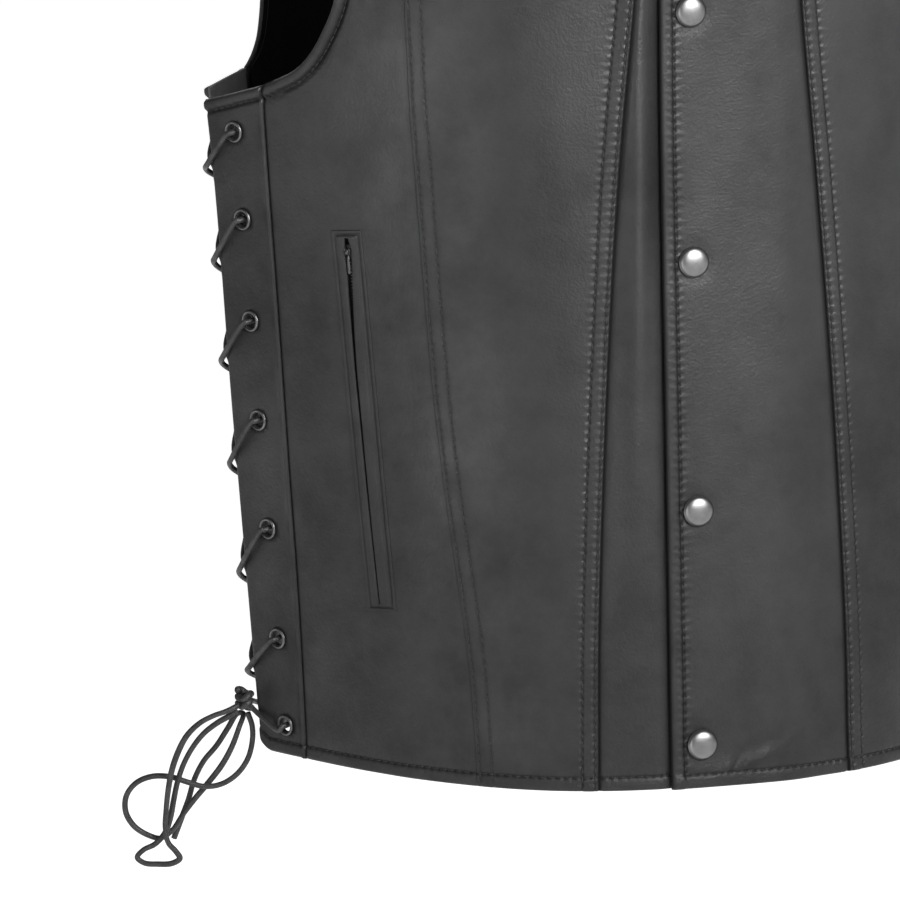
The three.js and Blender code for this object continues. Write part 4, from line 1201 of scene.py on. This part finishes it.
def backPanels():
    whole = {"name": "right", "side": 1, "lift": 0}
    cornerShare = shoulder["neckHalf"] / shoulder["tipHalf"] / 2
    common = {"form": backForm, "style": whole, "side": 1, "relief": backCreases,
              "materials": ["leather", "inside"], "slotName": "black_leather", "stepUp": 4.0, "place": backPlace,
              "nearLeft": nearEdge, "nearRight": nearEdge, "nearBottom": nearEdge, "nearTop": nearEdge,
              "left": ("under", "armhole", levels["backSeamTop"] + 1),
              "right": ("under", "armhole", levels["backSeamTop"] + 1),
              "bottom": ("turned", "turned", None), "top": ("turned", "turned", None)}
    made = [
        {**common, "name": "back_panel", "kind": "back_panel", "stepAcross": 4.0,
         "armholeFrom": levels["backSeamTop"],
         "snapShare": (0.5 - cornerShare, 0.5 + cornerShare)},
        {**common, "name": "back_lining", "kind": "back_lining", "stepAcross": 3.2, "stepUp": 6.0,
         "relief": liningRelief, "materials": ["lining", "lining"], "slotName": "lining_satin",
         "face": -wallThick - pieceGap - 0.6, "thick": 0.6, "left": ("plain", "plain", None),
         "right": ("plain", "plain", None), "bottom": ("plain", "plain", None), "top": ("plain", "plain", None),
         "nearLeft": nearPlain[:4], "nearRight": nearPlain[:4], "nearBottom": nearPlain[:4],
         "nearTop": nearPlain[:4], "snapShare": (0.5 - cornerShare, 0.5 + cornerShare)},
    ]
    for style in wearerSides:
        made.append({
            **common, "kind": "back_lace_panel", "name": "back_lace_panel_" + style["name"], "style": style,
            "side": style["side"], "place": backLacePlace(style), "stepAcross": 1.5, "stepUp": 2.0,
            "nearLeft": nearPlain[:6], "nearRight": nearPlain[:7], "left": ("laceSeam", "laceSeam", None),
            "right": ("laced", "laced", None),
            "top": ("laceTop", "laceTop", None),
            "materials": ["leather", "facing"],
            "holes": [(float(eyeletX(backForm, up)), up) for up in eyeletLook["ups"]],
        })
    for panel in made:
        panel.update(panelSizes[panel["kind"]])
    return made


panels = {panel["name"]: panel for panel in frontPanels() + backPanels()}
for panel in panels.values():
    makePanel(panel)
print("leather panels made")


# Tubes: laces and cords

def smoothLine(points, steps, centripetal=True):
    p = [np.array(q, float) for q in points]
    p = [2 * p[0] - p[1]] + p + [2 * p[-1] - p[-2]]
    line = []
    for k in range(1, len(p) - 2):
        a, b, c, d = p[k - 1:k + 3]
        power = 0.5 if centripetal else 0
        first, second, third = (max(np.linalg.norm(q - r), 1e-4) ** power for q, r in ((b, a), (c, b), (d, c)))
        start = ((b - a) / first - (c - a) / (first + second) + (c - b) / second) * second
        end = ((c - b) / second - (d - b) / (second + third) + (d - c) / third) * second
        for i in range(steps):
            t = i / steps
            line.append(b * (2 * t**3 - 3 * t**2 + 1) + start * (t**3 - 2 * t**2 + t)
                        + c * (3 * t**2 - 2 * t**3) + end * (t**3 - t**2))
    line.append(p[-2])
    return np.array(line)


def tubeMesh(name, line, radius, around, materialName, flatness=0.0):
    ways = unit(np.gradient(line, axis=0))
    side = unit(np.cross(ways[0], [0.3, 0.2, 0.93]))
    rings = []
    for k, way in enumerate(ways):
        side = unit(side - way * np.dot(side, way))
        other = np.cross(way, side)
        wide = radius * (1 + flatness * math.sin(k * 0.11))
        thin = radius * (1 - flatness * math.sin(k * 0.11))
        for i in range(around):
            angle = 2 * math.pi * i / around
            rings.append(line[k] + side * wide * math.cos(angle) + other * thin * math.sin(angle))
    faces = []
    for k in range(len(line) - 1):
        for i in range(around):
            j = (i + 1) % around
            faces.append((k * around + i, k * around + j, (k + 1) * around + j, (k + 1) * around + i))
    for k, turn in ((0, -1), (len(line) - 1, 1)):
        rings.append(line[k] + ways[k] * radius * 0.35 * turn)
        tip = len(rings) - 1
        for i in range(around):
            a, b = k * around + i, k * around + (i + 1) % around
            faces.append((a, b, tip) if turn > 0 else (b, a, tip))
    return meshFrom(name, np.array(rings), faces, [materialName])


laceLook = {"radius": 1.4, "around": 12, "over": 3.1, "under": 4.4, "atEdge": 2.5, "crossOut": 3.6, "crossIn": -0.4}
knotLook = {"x": 198, "y": -9, "z": -615.5, "turn": 16.6, "radius": 4.6}
hangingLaces = {
    "lace_loop": [
        [3, 2, 3.4], [9, 4.4, 5.6], [15, 6.4, 6], [21.8, 10, 6], [28, 16, 6], [32.4, 24, 6], [35.6, 33, 6],
        [37.6, 43, 6], [38.8, 53, 6], [39.4, 62, 6], [38, 69.5, 6], [34.6, 73.6, 6], [32.6, 77.4, 5.6],
        [36.4, 80, 5], [43.6, 80.6, 4], [50, 80.2, 3], [53.4, 77.6, 2.2], [50.4, 74, 2], [44.6, 71, 2],
        [39.8, 65.6, 2], [37, 58, 2], [35.2, 49, 2], [33.2, 40, 2], [30, 31, 2], [25.6, 23, 2],
        [20, 16, 2], [13, 10.6, 2], [7.6, 7.6, 1.6], [4, 5, 1.2],
    ],
    "lace_ends": [
        [-1.2, 6.8, -1.4], [-3.2, 13.6, -2.4], [-3.2, 21, -2.4], [-0.8, 30, -2.4], [4.6, 37.6, -2.4],
        [12, 42.4, -2.4], [20.4, 43.6, -2.4], [28.4, 41.4, -2.4], [37, 38.6, -2.4], [46, 38.4, -2.4],
        [53.6, 41.6, -2.4], [58.4, 48, -2.4], [58.8, 56, -2.4], [55, 63, -2.6], [48.6, 67.6, -3],
        [42, 69.6, -4], [36.4, 66, -5.6], [31.6, 59, -6.2], [25.6, 51, -6.2], [18.6, 42.6, -6.2],
        [12, 34, -6.2], [7, 25, -6.2], [3.4, 15.6, -6.4], [1.2, 8.8, -8.2], [4.4, 9.4, -10.4],
        [8.6, 16, -10.4], [14.4, 25, -10.4], [21, 33, -10.4], [25.6, 42, -10.4], [28.6, 52, -10.4],
        [32.4, 62, -10.4], [36, 71.4, -10.4],
    ],
}


def knotCentre(side):
    return np.array([side * knotLook["x"], knotLook["y"], knotLook["z"]], float)


def hangingPoints(kind, side):
    turn = math.radians(knotLook["turn"])
    points = []
    for aside, down, near in hangingLaces[kind]:
        x = aside * math.cos(turn) + near * math.sin(turn)
        y = aside * math.sin(turn) - near * math.cos(turn)
        points.append(knotCentre(side) + [side * x, y, -down])
    return points


def makeHangingLaces(style):
    side, name = style["side"], style["name"]
    knot = makeKnot(side, name)
    for kind in hangingLaces:
        line = smoothLine(hangingPoints(kind, side), 8)
        print(f"{kind}_{name}", "is %.4f m long" % (arcLengths(line)[-1] * mm))
        lace = tubeMesh(f"{kind}_{name}", line, laceLook["radius"], laceLook["around"], "lace", 0.08)
        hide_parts(f"{kind}_{name}")
        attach(lace, "root")


def makeKnot(side, name):
    turns, steps = 2.6, 60
    line = []
    for k in range(steps + 1):
        t = k / steps
        angle = 2 * math.pi * turns * t
        reach = 3.0 + 0.5 * math.sin(3 * angle)
        line.append(knotCentre(side) + [side * reach * math.cos(angle), reach * math.sin(angle),
                                        4.4 - 8.8 * t + 0.9 * math.sin(2 * angle)])
    knot = tubeMesh(f"lace_knot_{name}", np.array(line), 1.7, 12, "lace")
    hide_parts(f"lace_knot_{name}")
    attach(knot, "root")
    return knot


def edgePoint(form, side, up, rise):
    half = frontHalf(up) if form is frontForm else backHalf(up)
    return clothAt(form, np.array(side * (half - 0.2)), np.array(float(up)), rise)


def throughEyelet(form, side, i):
    up = np.array(float(eyeletLook["ups"][i]))
    x = side * np.array(eyeletX(form, up))
    across, above, out, _ = clothFrame(form, x, up)
    centre = clothPoint(form, x, up)
    toEdge = across * side

    def spot(rise, aside, upward):
        return centre + out * rise + toEdge * aside + above * upward
    return [spot(laceLook["over"], 3, -2), spot(1.7, 0.4, -0.3), spot(-2.2, 0, 0.1),
            spot(-laceLook["under"], 1.6, 1.4)]


def crossing(form, other, side, i):
    start, end = eyeletLook["ups"][i], eyeletLook["ups"][i + 1]
    overEdge = edgePoint(form, side, mix(start, end, 0.36), laceLook["atEdge"])
    underEdge = edgePoint(other, side, mix(start, end, 0.68), -laceLook["under"])
    gap = mix(edgePoint(form, side, mix(start, end, 0.5), 0), edgePoint(other, side, mix(start, end, 0.5), 0), 0.42)
    gap[0] += side * (laceLook["crossOut"] if form is frontForm else laceLook["crossIn"])
    return [overEdge, gap, underEdge]


def makeSideLacing(style):
    side, name = style["side"], style["name"]
    count = len(eyeletLook["ups"])

    def walk(form, other):
        points = []
        for i in range(count):
            points += throughEyelet(form, side, i)[::-1]
            if i < count - 1:
                points += crossing(form, other, side, i)
            form, other = other, form
        return points

    down = walk(frontForm, backForm)
    up = walk(backForm, frontForm)[::-1]
    lastUp = eyeletLook["ups"][-1]
    backEdge = edgePoint(backForm, side, lastUp + 3, laceLook["atEdge"])
    frontEdge = edgePoint(frontForm, side, lastUp + 5, laceLook["atEdge"])
    centre = knotCentre(side)
    points = [mix(centre, backEdge, 3.2 / np.linalg.norm(backEdge - centre)), backEdge, *up, *down, frontEdge,
              mix(centre, frontEdge, 0.3)]
    lacing = tubeMesh(f"side_lacing_{name}", smoothLine(points, 6, False), laceLook["radius"], 12, "lace", 0.06)
    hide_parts(f"side_lacing_{name}")
    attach(lacing, "root")


for style in wearerSides:
    makeHangingLaces(style)
    makeSideLacing(style)
print("laces made")


# Turned metal parts

def turnedMesh(profile, segments):
    points, faces = [], []
    for k in range(segments):
        angle = 2 * math.pi * k / segments
        points += [(r * math.cos(angle), r * math.sin(angle), h) for r, h in profile]
    n = len(profile)
    for k in range(segments):
        for i in range(n - 1):
            a, b = k * n + i, ((k + 1) % segments) * n + i
            faces.append((a, b, b + 1, a + 1))
    return np.array(points, float), faces


def setOn(form, x, up, points, rise=0.0, turn=0.0):
    x, up = np.array(float(x)), np.array(float(up))
    _, above, out, _ = clothFrame(form, x, up)
    aside = unit(np.cross(above, out))
    above = np.cross(out, aside)
    c, s = math.cos(turn), math.sin(turn)
    across = points[:, 0] * c - points[:, 1] * s
    along = points[:, 0] * s + points[:, 1] * c
    local = np.stack([across, along, points[:, 2] + rise], axis=1)
    return clothPoint(form, x, up) + local @ np.stack([aside, above, out])


# One mesh of several parts, each given as points, faces and, where it has two looks, the faces' kinds.
def joined(name, parts, materialNames):
    points, faces, kinds, count = [], [], [], 0
    for part, partFaces, *look in parts:
        points.append(part)
        faces += [tuple(i + count for i in face) for face in partFaces]
        kinds += look[0] if look else [0] * len(partFaces)
        count += len(part)
    return meshFrom(name, np.concatenate(points), faces, materialNames, kinds)


def makeEyelets():
    look = eyeletLook
    profile = [(look["bore"], -1.8), (look["bore"], -0.2), (look["bore"] + 0.25, 0.5), (look["rim"] - 0.35, 0.95),
               (look["rim"], 1.05), (look["rim"] + 0.4, 0.9), (look["flange"], 0.3), (look["flange"] - 0.1, 0.05),
               (look["hole"] - 0.1, 0.0), (look["hole"] - 0.1, -1.8), (look["bore"], -1.8)]
    points, faces = turnedMesh(profile, look["segments"])
    # The bore faces take the near-black zip finish instead of metal: painted shade inside each eyelet's hole.
    kinds = [1, 1, 0, 0, 0, 0, 0, 0, 0, 0] * look["segments"]
    for style in wearerSides:
        for half, form in (("front", frontForm), ("back", backForm)):
            parts = [(setOn(form, style["side"] * eyeletX(form, up), up, points), faces, kinds)
                     for up in look["ups"]]
            thing = joined(f"eyelets_{half}_{style['name']}", parts, ["dark_metal", "zip"])
            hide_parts(*[f"eyelet_{half}_{style['name']}_{i + 1}" for i in range(len(look["ups"]))])
            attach(thing, "root")


def makeSnaps():
    look = snapLook
    r, h = look["radius"], look["height"]
    profile = [(0, 0.2), (r - 0.6, 0.2), (r - 0.15, 0.35), (r, 0.75), (r - 0.12, 1.1), (r * 0.93, 1.35)]
    for k in range(1, 9):
        angle = k / 8 * math.pi / 2
        profile.append((r * 0.93 * math.cos(angle), 1.35 + (h - 1.25) * math.sin(angle)))
    points, faces = turnedMesh(profile, 40)
    for i, up in enumerate(look["ups"]):
        cap = joined(f"snap_{i + 1}", [(setOn(frontForm, -look["across"], up, points, 2.4), faces)], ["snap"])
        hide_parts(f"snap_cap_{i + 1}")
        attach(cap, "root")


# The zip pocket. Its ways are across, towards the side seam, and along, from the lower end.

weltLook = {
    "half": 8.2, "strip": 2.1, "stripRise": 0.5, "lipRise": 0.95, "groove": 0.7, "round": 0.4, "lipRound": 0.8,
    "base": 0.1, "step": 3.0, "shear": 0.08,
    "mouth": [
        {"along": 4, "half": 0.16, "centre": 1.1}, {"along": 60, "half": 0.26, "centre": 1.5},
        {"along": 118, "half": 0.45, "centre": 1.7}, {"along": 135, "half": 0.65, "centre": 1.3},
        {"along": 152, "half": 1.05, "centre": 0.7}, {"along": 163, "half": 1.35, "centre": 0.1},
        {"along": 168, "half": 1.5, "centre": 0}, {"along": 175, "half": 1.5, "centre": 0},
        {"along": 178.4, "half": 0.8, "centre": 0.2},
    ],
}
zipLook = {"tapeHalf": 8, "tapeTop": -2.3, "tapeThick": 0.8, "pitch": 1.5, "tooth": (1.7, 0.8, 0.7)}


def pocketX(across, along, side):
    spotX, spotUp = pocketSpot(along / pocketLength)
    return spotX + across / clothFrame(frontForm, side * spotX, spotUp)[3]


def pocketUp(across, along):
    return pocketSpot(along / pocketLength)[1] - weltLook["shear"] * across


def pocketPoint(side, across, along, rise):
    return clothAt(frontForm, side * pocketX(across, along, side), pocketUp(across, along), rise)


def mouthAt(along):
    rows = weltLook["mouth"]
    return tuple(np.interp(along, [row["along"] for row in rows], [row[key] for row in rows])
                 for key in ("centre", "half"))


def makeWelt(style):
    look, side, name = weltLook, style["side"], style["name"]
    ends = np.array([0, 0.15, 0.3, 0.5, 0.8, 1.15, 1.5, 1.9, 2.3, 2.7, 3.1, 3.6])
    slot = np.linspace(4, pocketLength - 4, round((pocketLength - 8) / look["step"]))
    alongs = np.concatenate([ends, slot, pocketLength - ends[::-1]])
    rims = np.array([0, 0.15, 0.3, 0.5, 0.8, 1.15, 1.5, 1.9, 2.3, 2.7])
    shares = np.array([0.3, 0.6, 0.78, 0.88, 0.95, 1])
    centre, half = mouthAt(alongs)
    inward = -look["half"] + rims[-1]
    low = [np.full_like(alongs, -look["half"] + rim) for rim in rims]
    low += [mix(inward, centre - half, share) for share in shares]
    high = [mix(-inward, centre + half, share) for share in shares[::-1]]
    high += [np.full_like(alongs, look["half"] - rim) for rim in rims[::-1]]
    across = np.stack(low + high, axis=1)
    along = np.repeat(alongs[:, None], across.shape[1], axis=1)
    edge = np.minimum.reduce([look["half"] - np.abs(across), along, pocketLength - along])
    inSlot = (along > look["mouth"][0]["along"] - 0.3) & (along < look["mouth"][-1]["along"] + 0.3)
    lip = np.where(inSlot, np.maximum(np.abs(across - centre[:, None]) - half[:, None], 0), 9)

    def rolled(distance, turn):
        return turn * (1 - np.sqrt(1 - np.clip(1 - distance / turn, 0, 1) ** 2))
    rise = mix(look["stripRise"], look["lipRise"], soft((edge - look["strip"]) / 0.9))
    rise = rise - rolled(edge, look["round"]) - rolled(lip, look["lipRound"])
    rise = rise - look["groove"] * np.exp(-(((edge - look["strip"]) / 0.42) ** 2))
    relief = frontRelief(side * pocketX(across, along, side), pocketUp(across, along))
    rise = rise + relief
    floor = np.minimum(look["base"] + relief, rise - 0.1)
    keep = np.ones((across.shape[0] - 1, across.shape[1] - 1), bool)
    gap = len(low) - 1
    keep[:, gap] = ~(inSlot[:-1, gap] & inSlot[1:, gap])
    # Painted shade in the welt's groove, along its outer edge and in the slot's mouth.
    shade = 0.7 * np.exp(-(((edge - look["strip"]) / 0.6) ** 2)) + 0.45 * np.exp(-((edge / 0.35) ** 2))
    shade = shade + 0.8 * np.exp(-((lip / 0.35) ** 2))
    outer = pocketPoint(side, across, along, rise)
    inner = pocketPoint(side, across, along, floor)
    welt = wallMesh(f"pocket_welt_{name}", outer, inner, keep, side < 0, ["leather", "inside"],
                    {"groove": np.minimum(shade, 1)})
    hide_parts(f"pocket_welt_{name}")
    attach(welt, "root")


# A block with bevelled edges, long along its second way.
def chamferedBox(size, bevel, centre):
    wide, long, tall = (length / 2 for length in size)
    rings = [(-tall, bevel), (-tall + bevel, 0), (tall - bevel, 0), (tall, bevel)]
    points, faces = [], []
    for height, inward in rings:
        w, l = wide - inward, long - inward
        for x, y in ((w - bevel, l), (-w + bevel, l), (-w, l - bevel), (-w, -l + bevel),
                     (-w + bevel, -l), (w - bevel, -l), (w, -l + bevel), (w, l - bevel)):
            points.append((x + centre[0], y + centre[1], height + centre[2]))
    for k in range(3):
        for i in range(8):
            j = (i + 1) % 8
            faces.append((k * 8 + i, k * 8 + j, (k + 1) * 8 + j, (k + 1) * 8 + i))
    faces.append(tuple(range(8))[::-1])
    faces.append(tuple(range(24, 32)))
    return np.array(points), faces


def makeTape(style):
    look, side, name = zipLook, style["side"], style["name"]
    alongs = np.linspace(0.01 * pocketLength, 0.99 * pocketLength, 62)
    across, along = np.meshgrid(np.linspace(-look["tapeHalf"], look["tapeHalf"], 9), alongs)
    outer = pocketPoint(side, across, along, look["tapeTop"] + 0 * across)
    inner = pocketPoint(side, across, along, look["tapeTop"] - look["tapeThick"] + 0 * across)
    keep = np.ones((61, 8), bool)
    tape = wallMesh(f"pocket_zip_tape_{name}", outer, inner, keep, side < 0, ["zip", "zip"], {"groove": 0 * across})
    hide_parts(f"pocket_zip_tape_{name}")
    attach(tape, "root")

    parts = []
    tooth, faces = chamferedBox(look["tooth"], 0.16, (0, 0, 0))
    for i, along in enumerate(np.arange(7, sliderLook["along"] - 4, look["pitch"] / 2)):
        aside = 0.62 if i % 2 else -0.62
        local = tooth + [aside, 0, 0]
        places = pocketPoint(side, local[:, 0], along + local[:, 1], look["tapeTop"] + 0.35 + local[:, 2])
        parts.append((places, faces))
    teeth = joined(f"zip_teeth_{name}", parts, ["dark_metal"])
    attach(teeth, "root")


sliderLook = {"along": pocketLength - 10.3, "pinHeight": 0.9, "earAcross": 1.15}
pullLook = {
    "sections": [
        {"along": -10.5, "wide": 0.7, "thick": 0.3}, {"along": -10.3, "wide": 1.2, "thick": 0.62},
        {"along": -9.8, "wide": 1.5, "thick": 0.8}, {"along": -7, "wide": 1.4, "thick": 0.8},
        {"along": -4, "wide": 1.2, "thick": 0.78}, {"along": -1.3, "wide": 1.4, "thick": 0.8},
    ],
    "eye": 0.85, "ring": 1.42, "wide": 1.4,
}


def makeSlider(style):
    side, name = style["side"], style["name"]
    spotX, spotUp = pocketSpot(sliderLook["along"] / pocketLength)
    stretch = clothFrame(frontForm, side * np.array(spotX), np.array(spotUp))[3]
    top, bottom = pocketLook["top"], pocketLook["bottom"]
    lean = math.atan2(top["x"] - bottom["x"], top["up"] - bottom["up"])
    turn = float(-side * lean * stretch)
    height, ear = sliderLook["pinHeight"], sliderLook["earAcross"]
    pin, pinFaces = turnedMesh([(0, -ear), (0.5, -ear), (0.5, ear), (0, ear)], 12)
    pin = np.stack([pin[:, 2], pin[:, 0], pin[:, 1] + height], axis=1)
    pieces = [chamferedBox((6.2, 7, 0.95), 0.3, (0, 0, -1.47)),
              chamferedBox((0.5, 3, 2.9), 0.15, (ear, 0, 0.4)), chamferedBox((0.5, 3, 2.9), 0.15, (-ear, 0, 0.4)),
              (pin, pinFaces)]
    parts = [(setOn(frontForm, side * spotX, spotUp, points, 0, turn), faces) for points, faces in pieces]
    slider = joined(f"pocket_slider_{name}", parts, ["slider"])
    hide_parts(f"pocket_slider_{name}")
    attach(slider, "root")

    rows = pullLook["sections"]
    points, faces = [], []
    for row in rows:
        w, t = row["wide"] / 2, row["thick"] / 2
        for k in range(8):
            angle = (k + 0.5) * math.pi / 4
            points.append((w * np.clip(1.25 * math.cos(angle), -1, 1), row["along"],
                           height + t * np.clip(1.25 * math.sin(angle), -1, 1)))
    for k in range(len(rows) - 1):
        faces += [(k * 8 + i, k * 8 + (i + 1) % 8, (k + 1) * 8 + (i + 1) % 8, (k + 1) * 8 + i) for i in range(8)]
    faces.append(tuple(range(8))[::-1])
    faces.append(tuple(range(len(points) - 8, len(points))))
    eye, ring, w = pullLook["eye"], pullLook["ring"], pullLook["wide"] / 2
    loop, loopFaces = turnedMesh([(eye, -w), (ring - 0.2, -w), (ring, -w + 0.25), (ring, w - 0.25),
                                  (ring - 0.2, w), (eye, w), (eye, -w)], 16)
    loop = np.stack([loop[:, 2], loop[:, 0], loop[:, 1] + height], axis=1)
    parts = [(setOn(frontForm, side * spotX, spotUp, np.array(part), 0, turn), partFaces)
             for part, partFaces in ((points, faces), (loop, loopFaces))]
    pull = joined(f"pocket_pull_{name}", parts, ["pull"])
    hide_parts(f"pocket_pull_{name}")
    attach(pull, f"pull_{name}")


makeEyelets()
makeSnaps()
for style in wearerSides:
    makeWelt(style)
    makeTape(style)
    makeSlider(style)
print("eyelets, snaps and pockets made")

shapes = [thing.data for thing in bpy.context.scene.objects if thing.type == "MESH"]
corners = sum(len(shape.loops) - 2 * len(shape.polygons) for shape in shapes)
print(len(shapes), "meshes of", corners, "triangles in all")
